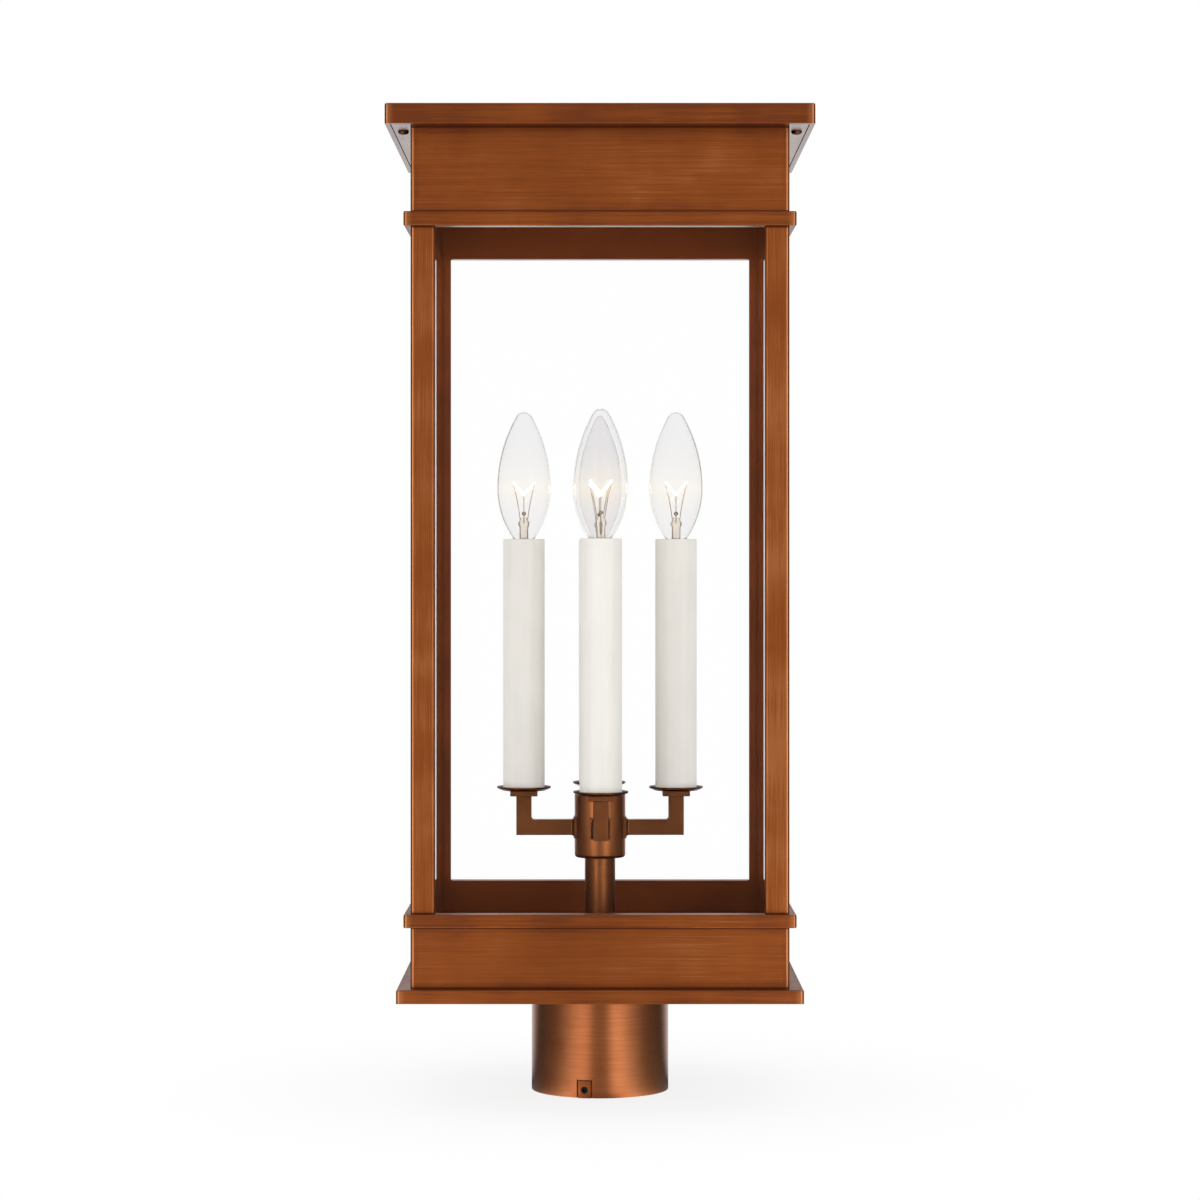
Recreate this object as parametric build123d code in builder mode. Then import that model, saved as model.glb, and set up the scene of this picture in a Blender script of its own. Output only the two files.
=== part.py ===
from build123d import *
import os
from math import cos, hypot, radians, sin

os.makedirs("parts", exist_ok=True)

# Square post lantern, in millimetres, +Z up.
# The origin is on the axis of the post, at the foot of the fitter.

# Heights, from the foot of the fitter upwards
fitter_drop = 67.9  # fitter below the base pan
base_height = 8.2
plinth_height = 36.2
lower_band_height = 8.0
opening_height = 408.3  # daylight between the two bands
upper_band_height = 8.6
frieze_height = 50.5
cap_height = 12.2

# Square body
body_width = 225.0  # across posts, frieze and plinth
post_width = 14.4
post_edge_radius = 1.6
band_projection = 4.0
band_corner_radius = 1.0
band_edge_radius = 0.9
base_overhang = 8.15
cap_overhang = 14.5
body_sheet = 1.2  # frieze and plinth
body_corner_radius = 1.2
base_sheet = 1.5
base_corner_radius = 1.0
base_edge_radius = 0.9

# Roof
cap_sheet = 1.5
cap_wall = 1.2
cap_hem_width = 3.0
cap_hem_sheet = 1.2
cap_corner_radius = 1.4
cap_edge_radius = 1.25
soffit_sheet = 1.5
soffit_seam = 0.6  # gap between hem and soffit plate
roof_screw_setback = 23.0  # from the front and rear faces of the body
roof_screw_shank = 3.9
roof_screw_head = 6.6
roof_screw_head_height = 2.0
roof_screw_head_radius = 1.2
roof_screw_reach = 6.5  # into the standoff
roof_screw_slot = 0.9
roof_screw_slot_length = 4.0
roof_screw_slot_depth = 0.9
roof_standoff_width = 9.0

# Window case and panes
case_sheet = 1.2
case_window_radius = 1.5
pane_thickness = 3.0
pane_setback = 6.7  # from the face of the body to the face of the glass
pane_headroom = 3.0  # below the soffit plate
pane_clearance = 0.25

# Post fitter and its set screws
fitter_bore = 79.4
fitter_wall = 3.05
fitter_top = 2.0
fitter_recess_width = 60.0  # above the stop for the end of the post
fitter_recess_height = 10.0
fitter_rim_radius = 0.6
notch_count = 3
notch_turn = -103.0  # first notch, to the left of the front
notch_width = 9.8
notch_height = 11.4
notch_gap = 0.9  # groove around the face of the block
notch_gap_depth = 1.5
set_screw_width = 4.4
set_screw_level = 5.0
set_screw_key = 2.2  # hexagon across flats
set_screw_key_depth = 1.6
set_screw_inset = 0.1  # behind the inner and outer walls

# Stem, hub and hub cap
stem_length = 68.7  # floor to underside of hub
stem_width = 19.05
stem_bore = 13.6
stem_bite = 7.0  # in the hub
stem_nipple_width = 13.4
stem_nipple_bore = 10.0
stem_nipple_bite = 25.0  # in the stem
stem_nipple_drop = 9.0  # below the top of the fitter
stem_nut_width = 22.0
stem_nut_height = 5.0
stem_washer_width = 28.0
stem_washer_height = 1.5
hub_width = 31.75
hub_height = 37.2
hub_bore = 24.6
hub_edge_radius = 2.0
hub_cap_height = 2.5
hub_cap_spigot = 3.0
hub_cap_edge_radius = 0.8

# Arms
candle_turn = 0.6  # whole cluster, counter-clockwise from above
candle_reach = 47.6
arm_level = 18.8  # middle of the bar above the underside of the hub
arm_width = 9.5
arm_bore = 6.9
arm_rise = 24.35  # from the underside of the bar to the top of its leg
arm_elbow_radius = 1.8
arm_edge_radius = 0.5
arm_foot_width = 13.4  # flare where the arm meets the hub
arm_foot_stand = 0.5
arm_foot_radius = 1.8
arm_tongue = 2.6  # tongue of the arm in the wall of the hub

# Candle furniture
collar_width = 17.0
collar_height = 3.4
collar_edge_radius = 0.4
nipple_width = 9.7
nipple_bore = 6.4
nipple_rise = 11.0  # above the drip pan's floor
pan_width = 33.6
pan_floor_width = 27.0
pan_sheet = 1.0
pan_rim_rise = 1.5
pan_nut_width = 14.0
pan_nut_height = 3.0
sleeve_width = 26.0
sleeve_wall = 2.0
sleeve_length = 156.2
sleeve_rim_radius = 0.6
socket_width = 21.2
socket_cup_height = 46.0
socket_drop = 5.8  # below the top of the sleeve
socket_neck_width = 13.0

# Lamps
lamp_thread_width = 11.9
lamp_thread_length = 13.0
lamp_button_width = 4.6
lamp_button_height = 3.0
lamp_button_rim = 1.0
lamp_skirt_width = 12.8
lamp_skirt_height = 2.0
lamp_neck_width = 11.8
lamp_neck_height = 2.8  # straight neck above the skirt
bulb_width = 33.5
bulb_length = 80.5  # from the neck to the tip
bulb_belly_level = 32.7  # widest place, above the neck
bulb_tip_radius = 5.5
bulb_wall = 0.8
mount_flare_width = 9.6
mount_stem_width = 5.6
mount_stem_length = 15.0
mount_ring_width = 7.6
mount_ring_level = 12.5
mount_ring_height = 3.0
mount_bead_width = 2.8
mount_bead_level = 18.5
lead_width = 0.6
lead_spread = 7.0
lead_level = 39.5
filament_sag = 8.0  # middle of the filament below its ends
filament_turn = 12.0  # all filaments, from the width of the lantern
filament_width = 0.7

# Fits
running_fit = 0.05  # round pieces that turn or slide in each other, per side
loose_fit = 0.2  # screws and nipples in plain holes, per side
close_fit = 0.1  # pieces that plug into each other, per side
pick = 0.01  # how near an edge lies to the place it is picked by

# Levels
base_bottom = fitter_drop
base_top = base_bottom + base_height
plinth_top = base_top + plinth_height
sill_level = plinth_top + lower_band_height
head_level = sill_level + opening_height
frieze_bottom = head_level + upper_band_height
soffit_level = frieze_bottom + frieze_height
hub_bottom = base_top + stem_length
hub_top = hub_bottom + hub_height
arm_bottom = hub_bottom + arm_level - arm_width / 2
leg_top = arm_bottom + arm_rise
pan_level = leg_top + collar_height
pan_floor = pan_level + pan_sheet
sleeve_top = pan_floor + sleeve_length
socket_top = sleeve_top - socket_drop
skirt_bottom = socket_top + close_fit
glass_bottom = skirt_bottom + lamp_skirt_height
thread_bottom = skirt_bottom - lamp_thread_length
button_bottom = thread_bottom - lamp_button_height
bulb_bottom = glass_bottom + lamp_neck_height

# Half widths of the square body and radii of the fitter
body_half = body_width / 2
post_inner = body_half - post_width
pane_outer = body_half - pane_setback
pane_inner = pane_outer - pane_thickness
case_inner = pane_outer + pane_clearance
case_outer = case_inner + case_sheet
band_half = body_half + band_projection
base_half = body_half + base_overhang
cap_half = body_half + cap_overhang
hem_inner = cap_half - cap_hem_width
soffit_half = hem_inner - soffit_seam
roof_screw_out = (body_half + soffit_half) / 2
roof_screw_along = body_half - roof_screw_setback
fitter_radius = fitter_bore / 2 + fitter_wall
fitter_ceiling = base_top - base_sheet - fitter_top

# Turns about the axis
sides = {"front": 0, "right": 90, "rear": 180, "left": 270}
corners = {"front_left": 0, "front_right": 90, "rear_right": 180, "rear_left": 270}
candles = {name: turn - 90 + candle_turn for name, turn in sides.items()}
notch_turns = [notch_turn + 360 / notch_count * index for index in range(notch_count)]


def outward(turn):
    """Level direction away from the axis."""
    return Vector(cos(radians(turn)), sin(radians(turn)), 0)


def level(height, turn=0):
    """Level plane, turned about the axis."""
    return Plane(origin=(0, 0, height), x_dir=outward(turn), z_dir=(0, 0, 1))


def upright(turn, reach=0):
    """Upright plane whose x runs outwards from a point at a reach, and whose y is the height."""
    return Plane(origin=outward(turn) * reach, x_dir=outward(turn), z_dir=outward(turn - 90))


def facing(turn, reach, height):
    """Upright plane that looks outwards at a turn."""
    middle = outward(turn) * reach + Vector(0, 0, height)
    return Plane(origin=middle, x_dir=outward(turn + 90), z_dir=outward(turn))


def square_ring(outer_half, inner_half, outer_radius):
    """Square ring drawn in the open sketch, with rounded outer corners."""
    RectangleRounded(2 * outer_half, 2 * outer_half, outer_radius)
    Rectangle(2 * inner_half, 2 * inner_half, mode=Mode.SUBTRACT)


def rim_edges(ring, outer_half, inner_half):
    """Level edges around the outside of a square ring."""
    middle = (outer_half + inner_half) / 2
    return ring.edges().filter_by(Plane.XY).filter_by(
        lambda edge: max(abs(edge.center().X), abs(edge.center().Y)) > middle
    )


# Post fitter: a collar with a stop for the post inside, notched at its foot
with BuildPart() as fitter:
    with BuildSketch(Plane.XZ):
        with Locations((fitter_bore / 2, 0)):
            Rectangle(fitter_wall, fitter_ceiling + fitter_top, align=Align.MIN)
        with Locations((fitter_recess_width / 2, fitter_ceiling - fitter_recess_height)):
            Rectangle(fitter_radius - fitter_recess_width / 2, fitter_recess_height, align=Align.MIN)
        with Locations((0, fitter_ceiling)):
            Rectangle(fitter_radius, fitter_top, align=Align.MIN)
    revolve(axis=Axis.Z)
    fillet(fitter.edges().filter_by(GeomType.CIRCLE).group_by(Axis.Z)[0], fitter_rim_radius)
    with PolarLocations(fitter_bore / 2 + fitter_wall / 2, notch_count, start_angle=notch_turn):
        Box(
            2 * fitter_wall,
            notch_width,
            notch_height,
            align=(Align.CENTER, Align.CENTER, Align.MIN),
            mode=Mode.SUBTRACT,
        )
    with Locations((0, 0, fitter_ceiling)):
        Cylinder(
            stem_nipple_width / 2 + loose_fit,
            fitter_top,
            align=(Align.CENTER, Align.CENTER, Align.MIN),
            mode=Mode.SUBTRACT,
        )
fitter.part.label = "fitter"
export_step(fitter.part, "parts/fitter.step")

# Threaded blocks that fill the notches, with a groove around each outer face
notch_step_radius = fitter_radius - notch_gap_depth
with BuildPart() as set_screw_blocks:
    with BuildSketch():
        with PolarLocations(fitter_bore / 2 + fitter_wall / 2, notch_count, start_angle=notch_turn):
            Rectangle(2 * fitter_wall, notch_width)
        Circle(notch_step_radius, mode=Mode.INTERSECT)
        Circle(fitter_bore / 2, mode=Mode.SUBTRACT)
    extrude(amount=notch_height)
    with BuildSketch():
        with PolarLocations(fitter_bore / 2 + fitter_wall / 2, notch_count, start_angle=notch_turn):
            Rectangle(2 * fitter_wall, notch_width - 2 * notch_gap)
        Circle(fitter_radius, mode=Mode.INTERSECT)
        Circle(notch_step_radius, mode=Mode.SUBTRACT)
    extrude(amount=notch_height - notch_gap)
    for turn in notch_turns:
        with BuildSketch(facing(turn, 0, set_screw_level)):
            Circle(set_screw_width / 2 + running_fit)
        extrude(amount=fitter_radius, mode=Mode.SUBTRACT)
set_screw_blocks.part.label = "set_screw_blocks"
export_step(set_screw_blocks.part, "parts/set_screw_blocks.step")

# Set screws, backed out until they are clear of the bore
for number, turn in enumerate(notch_turns, start=1):
    with BuildPart() as set_screw:
        with BuildSketch(facing(turn, fitter_bore / 2 + set_screw_inset, set_screw_level)):
            Circle(set_screw_width / 2)
        extrude(amount=fitter_wall - 2 * set_screw_inset)
        with BuildSketch(facing(turn, fitter_radius - set_screw_inset, set_screw_level)):
            RegularPolygon(set_screw_key / 2, 6, major_radius=False)
        extrude(amount=-set_screw_key_depth, mode=Mode.SUBTRACT)
    set_screw.part.label = f"set_screw_{number}"
    export_step(set_screw.part, f"parts/set_screw_{number}.step")

# Base pan: an inverted tray that stands proud of the plinth
with BuildPart() as base_pan:
    with BuildSketch(level(base_bottom)):
        RectangleRounded(2 * base_half, 2 * base_half, base_corner_radius)
    extrude(amount=base_height)
    fillet(base_pan.edges().group_by(Axis.Z)[-1], base_edge_radius)
    with BuildSketch(level(base_bottom)):
        Rectangle(2 * (base_half - base_sheet), 2 * (base_half - base_sheet))
    extrude(amount=base_height - base_sheet, mode=Mode.SUBTRACT)
    with BuildSketch(level(base_top)):
        Circle(stem_nipple_width / 2 + loose_fit)
    extrude(amount=-base_sheet, mode=Mode.SUBTRACT)
base_pan.part.label = "base_pan"
export_step(base_pan.part, "parts/base_pan.step")

# Plinth: a plain box of sheet between base pan and lower band
with BuildPart() as plinth:
    with BuildSketch(level(base_top)):
        square_ring(body_half, body_half - body_sheet, body_corner_radius)
    extrude(amount=plinth_height)
plinth.part.label = "plinth"
export_step(plinth.part, "parts/plinth.step")

# Window case: a square box of sheet from base pan to soffit, with a window in each side
with BuildPart() as window_case:
    with BuildSketch(level(base_top)):
        square_ring(case_outer, case_inner, case_sheet)
    extrude(amount=soffit_level - base_top)
    for turn in sides.values():
        with BuildSketch(facing(turn, 0, (sill_level + head_level) / 2)):
            RectangleRounded(2 * post_inner, opening_height, case_window_radius)
        extrude(amount=case_outer, mode=Mode.SUBTRACT)
window_case.part.label = "window_case"
export_step(window_case.part, "parts/window_case.step")

# Lower band: a bar frame around the window case that carries the posts
with BuildPart() as lower_band:
    with BuildSketch(level(plinth_top)):
        square_ring(band_half, case_outer, band_corner_radius)
    extrude(amount=lower_band_height)
    fillet(rim_edges(lower_band, band_half, case_outer), band_edge_radius)
lower_band.part.label = "lower_band"
export_step(lower_band.part, "parts/lower_band.step")

# Corner posts: angles that wrap the corners of the window case
post_middle = body_half - post_width / 2
for corner, turn in corners.items():
    with BuildPart() as post:
        with BuildSketch(level(sill_level, turn)):
            with Locations((-post_middle, -post_middle)):
                RectangleRounded(post_width, post_width, post_edge_radius)
            RectangleRounded(2 * case_outer, 2 * case_outer, case_sheet, mode=Mode.SUBTRACT)
        extrude(amount=opening_height)
    post.part.label = f"post_{corner}"
    export_step(post.part, f"parts/post_{corner}.step")

# Panes: they drop into the case from above, stand on the base pan and lock each other by their mitred edges
pane_outer_reach = pane_outer - pane_clearance
pane_inner_reach = pane_inner - pane_clearance
for side, turn in sides.items():
    with BuildPart() as pane:
        with BuildSketch(level(base_top, turn)):
            with BuildLine():
                Polyline(
                    (-pane_outer_reach, -pane_outer),
                    (pane_outer_reach, -pane_outer),
                    (pane_inner_reach, -pane_inner),
                    (-pane_inner_reach, -pane_inner),
                    close=True,
                )
            make_face()
        extrude(amount=soffit_level - pane_headroom - base_top)
    pane.part.label = f"pane_{side}"
    export_step(pane.part, f"parts/pane_{side}.step")

# Upper band: a bar frame around the window case, on top of the posts
with BuildPart() as upper_band:
    with BuildSketch(level(head_level)):
        square_ring(band_half, case_outer, band_corner_radius)
    extrude(amount=upper_band_height)
    fillet(rim_edges(upper_band, band_half, case_outer), band_edge_radius)
upper_band.part.label = "upper_band"
export_step(upper_band.part, "parts/upper_band.step")

# Frieze: a plain box of sheet between upper band and soffit
with BuildPart() as frieze:
    with BuildSketch(level(frieze_bottom)):
        square_ring(body_half, body_half - body_sheet, body_corner_radius)
    extrude(amount=frieze_height)
frieze.part.label = "frieze"
export_step(frieze.part, "parts/frieze.step")

# Roof screw places, in the soffits of the two sides
roof_screw_places = [
    (x * roof_screw_out, y * roof_screw_along) for x in (-1, 1) for y in (-1, 1)
]

# Soffit plate on frieze and window case, inside the hem of the roof cap
with BuildPart() as soffit_plate:
    with BuildSketch(level(soffit_level)):
        Rectangle(2 * soffit_half, 2 * soffit_half)
        Rectangle(2 * case_inner, 2 * case_inner, mode=Mode.SUBTRACT)
        with Locations(*roof_screw_places):
            Circle(roof_screw_shank / 2 + loose_fit, mode=Mode.SUBTRACT)
    extrude(amount=soffit_sheet)
soffit_plate.part.label = "soffit_plate"
export_step(soffit_plate.part, "parts/soffit_plate.step")

# Roof cap: an inverted tray with a hem turned in along its lower edge
with BuildPart() as roof_cap:
    with BuildSketch(level(soffit_level)):
        RectangleRounded(2 * cap_half, 2 * cap_half, cap_corner_radius)
    extrude(amount=cap_height)
    fillet(roof_cap.edges().group_by(Axis.Z)[-1], cap_edge_radius)
    with BuildSketch(level(soffit_level + cap_hem_sheet)):
        Rectangle(2 * (cap_half - cap_wall), 2 * (cap_half - cap_wall))
    extrude(amount=cap_height - cap_hem_sheet - cap_sheet, mode=Mode.SUBTRACT)
    with BuildSketch(level(soffit_level)):
        Rectangle(2 * hem_inner, 2 * hem_inner)
    extrude(amount=cap_hem_sheet, mode=Mode.SUBTRACT)
roof_cap.part.label = "roof_cap"
export_step(roof_cap.part, "parts/roof_cap.step")

# Threaded standoffs under the cap, standing on the soffit plate
standoff_height = cap_height - cap_sheet - soffit_sheet
with BuildPart() as roof_standoffs:
    with BuildSketch(level(soffit_level + soffit_sheet)):
        with Locations(*roof_screw_places):
            Circle(roof_standoff_width / 2)
            Circle(roof_screw_shank / 2 + loose_fit, mode=Mode.SUBTRACT)
    extrude(amount=standoff_height)
roof_standoffs.part.label = "roof_standoffs"
export_step(roof_standoffs.part, "parts/roof_standoffs.step")

# Pan-head roof screws, driven up through the soffit plate
with BuildPart() as roof_screws:
    with BuildSketch(level(soffit_level)):
        with Locations(*roof_screw_places):
            Circle(roof_screw_head / 2)
    extrude(amount=-roof_screw_head_height)
    fillet(roof_screws.edges().group_by(Axis.Z)[0], roof_screw_head_radius)
    with BuildSketch(level(soffit_level)):
        with Locations(*roof_screw_places):
            Circle(roof_screw_shank / 2)
    extrude(amount=soffit_sheet + roof_screw_reach)
    with BuildSketch(level(soffit_level - roof_screw_head_height)):
        with Locations(*roof_screw_places):
            Rectangle(roof_screw_slot_length, roof_screw_slot)
            Rectangle(roof_screw_slot, roof_screw_slot_length)
    extrude(amount=roof_screw_slot_depth, mode=Mode.SUBTRACT)
roof_screws.part.label = "roof_screws"
export_step(roof_screws.part, "parts/roof_screws.step")

# Stem: a plain tube from the floor of the lantern into the hub
with BuildPart() as stem:
    with BuildSketch(level(base_top)):
        Circle(stem_width / 2)
        Circle(stem_bore / 2, mode=Mode.SUBTRACT)
    extrude(amount=stem_length + stem_bite)
stem.part.label = "stem"
export_step(stem.part, "parts/stem.step")

# Threaded nipple, washer and nut that hold stem, base pan and fitter together
with BuildPart() as stem_nipple:
    with BuildSketch(level(fitter_ceiling - stem_nipple_drop)):
        Circle(stem_nipple_width / 2)
        Circle(stem_nipple_bore / 2, mode=Mode.SUBTRACT)
    extrude(amount=stem_nipple_drop + fitter_top + base_sheet + stem_nipple_bite)
stem_nipple.part.label = "stem_nipple"
export_step(stem_nipple.part, "parts/stem_nipple.step")

with BuildPart() as stem_washer:
    with BuildSketch(level(fitter_ceiling)):
        Circle(stem_washer_width / 2)
        Circle(stem_nipple_width / 2 + loose_fit, mode=Mode.SUBTRACT)
    extrude(amount=-stem_washer_height)
stem_washer.part.label = "stem_washer"
export_step(stem_washer.part, "parts/stem_washer.step")

with BuildPart() as stem_nut:
    with BuildSketch(level(fitter_ceiling - stem_washer_height)):
        RegularPolygon(stem_nut_width / 2, 6, major_radius=False)
        Circle(stem_nipple_width / 2 + close_fit, mode=Mode.SUBTRACT)
    extrude(amount=-stem_nut_height)
stem_nut.part.label = "stem_nut"
export_step(stem_nut.part, "parts/stem_nut.step")

# Hub: a cup with a socket for the stem below and a window for each arm
hub_floor = hub_bottom + stem_bite
with BuildPart() as hub:
    with BuildSketch(level(hub_bottom)):
        Circle(hub_width / 2)
    extrude(amount=hub_height)
    fillet(hub.edges().group_by(Axis.Z)[0], hub_edge_radius)
    with BuildSketch(level(hub_floor)):
        Circle(hub_bore / 2)
    extrude(amount=hub_height - stem_bite, mode=Mode.SUBTRACT)
    with BuildSketch(level(hub_bottom)):
        Circle(stem_width / 2 + close_fit)
    extrude(amount=stem_bite, mode=Mode.SUBTRACT)
    for turn in candles.values():
        with BuildSketch(facing(turn, 0, arm_bottom + arm_width / 2)):
            Rectangle(arm_width + 2 * close_fit, arm_width + 2 * close_fit)
        extrude(amount=hub_width, mode=Mode.SUBTRACT)
hub.part.label = "hub"
export_step(hub.part, "parts/hub.step")

# Hub cap: a disc whose spigot plugs into the hub
with BuildPart() as hub_cap:
    with BuildSketch(level(hub_top)):
        Circle(hub_width / 2)
    extrude(amount=hub_cap_height)
    fillet(hub_cap.edges().group_by(Axis.Z)[-1], hub_cap_edge_radius)
    with BuildSketch(level(hub_top)):
        Circle(hub_bore / 2 - close_fit)
    extrude(amount=-hub_cap_spigot)
hub_cap.part.label = "hub_cap"
export_step(hub_cap.part, "parts/hub_cap.step")

# Arms: square tube bent up at a sharp elbow, with a flared foot against the hub
leg_inner = candle_reach - arm_width / 2
leg_outer = candle_reach + arm_width / 2
arm_top = arm_bottom + arm_width
arm_start = hub_width / 2 - arm_tongue
foot_reach = hub_width / 2 + arm_foot_stand
bore_wall = (arm_width - arm_bore) / 2
for side, turn in candles.items():
    with BuildPart() as arm:
        with BuildSketch(upright(turn)):
            with BuildLine():
                Polyline(
                    (arm_start, arm_bottom),
                    (leg_outer, arm_bottom),
                    (leg_outer, leg_top),
                    (leg_inner, leg_top),
                    (leg_inner, arm_top),
                    (arm_start, arm_top),
                    close=True,
                )
            make_face()
        extrude(amount=arm_width / 2, both=True)
        elbow = Vector(0, 0, arm_top) + outward(turn) * leg_inner
        fillet(arm.edges().filter_by(lambda edge: (edge.center() - elbow).length < pick), arm_elbow_radius)
        flank_edges = arm.edges().filter_by(
            lambda edge: abs(abs(edge.center().dot(outward(turn + 90))) - arm_width / 2) < pick
        )
        end_edges = flank_edges.filter_by(
            lambda edge: abs(edge.center().Z - leg_top) < pick
            or abs(edge.center().dot(outward(turn)) - arm_start) < pick
        )
        fillet(flank_edges - end_edges, arm_edge_radius)
        with BuildSketch(facing(turn, 0, arm_bottom + arm_width / 2)):
            Rectangle(arm_foot_width, arm_foot_width)
        extrude(amount=foot_reach)
        foot_edges = arm.edges().filter_by(
            lambda edge: abs(edge.center().dot(outward(turn)) - foot_reach) < pick
        )
        fillet(foot_edges.filter_by(lambda edge: edge.length < arm_width + pick), arm_foot_radius)
        with BuildSketch(level(arm_bottom - arm_width)):
            Circle(hub_width / 2 + close_fit)
        extrude(amount=3 * arm_width, mode=Mode.SUBTRACT)
        with BuildSketch(facing(turn, arm_start, arm_bottom + arm_width / 2)):
            Rectangle(arm_width, arm_width)
        extrude(amount=arm_tongue + arm_foot_stand)
        with BuildSketch(upright(turn)):
            with BuildLine():
                Polyline(
                    (arm_start, arm_bottom + bore_wall),
                    (leg_outer - bore_wall, arm_bottom + bore_wall),
                    (leg_outer - bore_wall, leg_top),
                    (leg_inner + bore_wall, leg_top),
                    (leg_inner + bore_wall, arm_top - bore_wall),
                    (arm_start, arm_top - bore_wall),
                    close=True,
                )
            make_face()
        extrude(amount=arm_bore / 2, both=True, mode=Mode.SUBTRACT)
    arm.part.label = f"arm_{side}"
    export_step(arm.part, f"parts/arm_{side}.step")

# Collars, nipples and nuts: one of each on every arm
with BuildPart() as collars:
    for turn in candles.values():
        with BuildSketch(level(leg_top, turn)):
            with Locations((candle_reach, 0)):
                Rectangle(collar_width, collar_width)
                Circle(nipple_width / 2 + close_fit, mode=Mode.SUBTRACT)
        extrude(amount=collar_height)
    fillet(collars.edges().filter_by(GeomType.LINE), collar_edge_radius)
collars.part.label = "collars"
export_step(collars.part, "parts/collars.step")

with BuildPart() as nipples:
    for turn in candles.values():
        with BuildSketch(level(leg_top, turn)):
            with Locations((candle_reach, 0)):
                Circle(nipple_width / 2)
                Circle(nipple_bore / 2, mode=Mode.SUBTRACT)
        extrude(amount=collar_height + pan_sheet + nipple_rise)
nipples.part.label = "nipples"
export_step(nipples.part, "parts/nipples.step")

with BuildPart() as pan_nuts:
    for turn in candles.values():
        with BuildSketch(level(pan_floor, turn)):
            with Locations((candle_reach, 0)):
                RegularPolygon(pan_nut_width / 2, 6, major_radius=False)
                Circle(nipple_width / 2 + close_fit, mode=Mode.SUBTRACT)
        extrude(amount=pan_nut_height)
pan_nuts.part.label = "pan_nuts"
export_step(pan_nuts.part, "parts/pan_nuts.step")


def bulb_outline(width, length, neck_width, tip_radius):
    """Half outline of a candle bulb in the open line, from its neck to its tip, in three arcs."""
    radius = width / 2
    belly = bulb_bottom + bulb_belly_level
    tip = bulb_bottom + length
    rise = tip - tip_radius - belly
    shoulder_radius = (radius**2 + rise**2 - tip_radius**2) / (2 * (radius - tip_radius))
    lean = shoulder_radius - radius
    share = tip_radius / hypot(lean, rise)
    meeting = (lean * share, tip - tip_radius + rise * share)
    TangentArc((radius, belly), (neck_width / 2, bulb_bottom), tangent=(0, -1))
    TangentArc((radius, belly), meeting, tangent=(0, 1))
    TangentArc((0, tip), meeting, tangent=(1, 0))


def wire(start, end, width):
    """Straight round wire in the open part."""
    with BuildSketch(Plane(origin=start, z_dir=end - start)) as section:
        Circle(width / 2)
    extrude(section.sketch, amount=(end - start).length)


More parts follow.
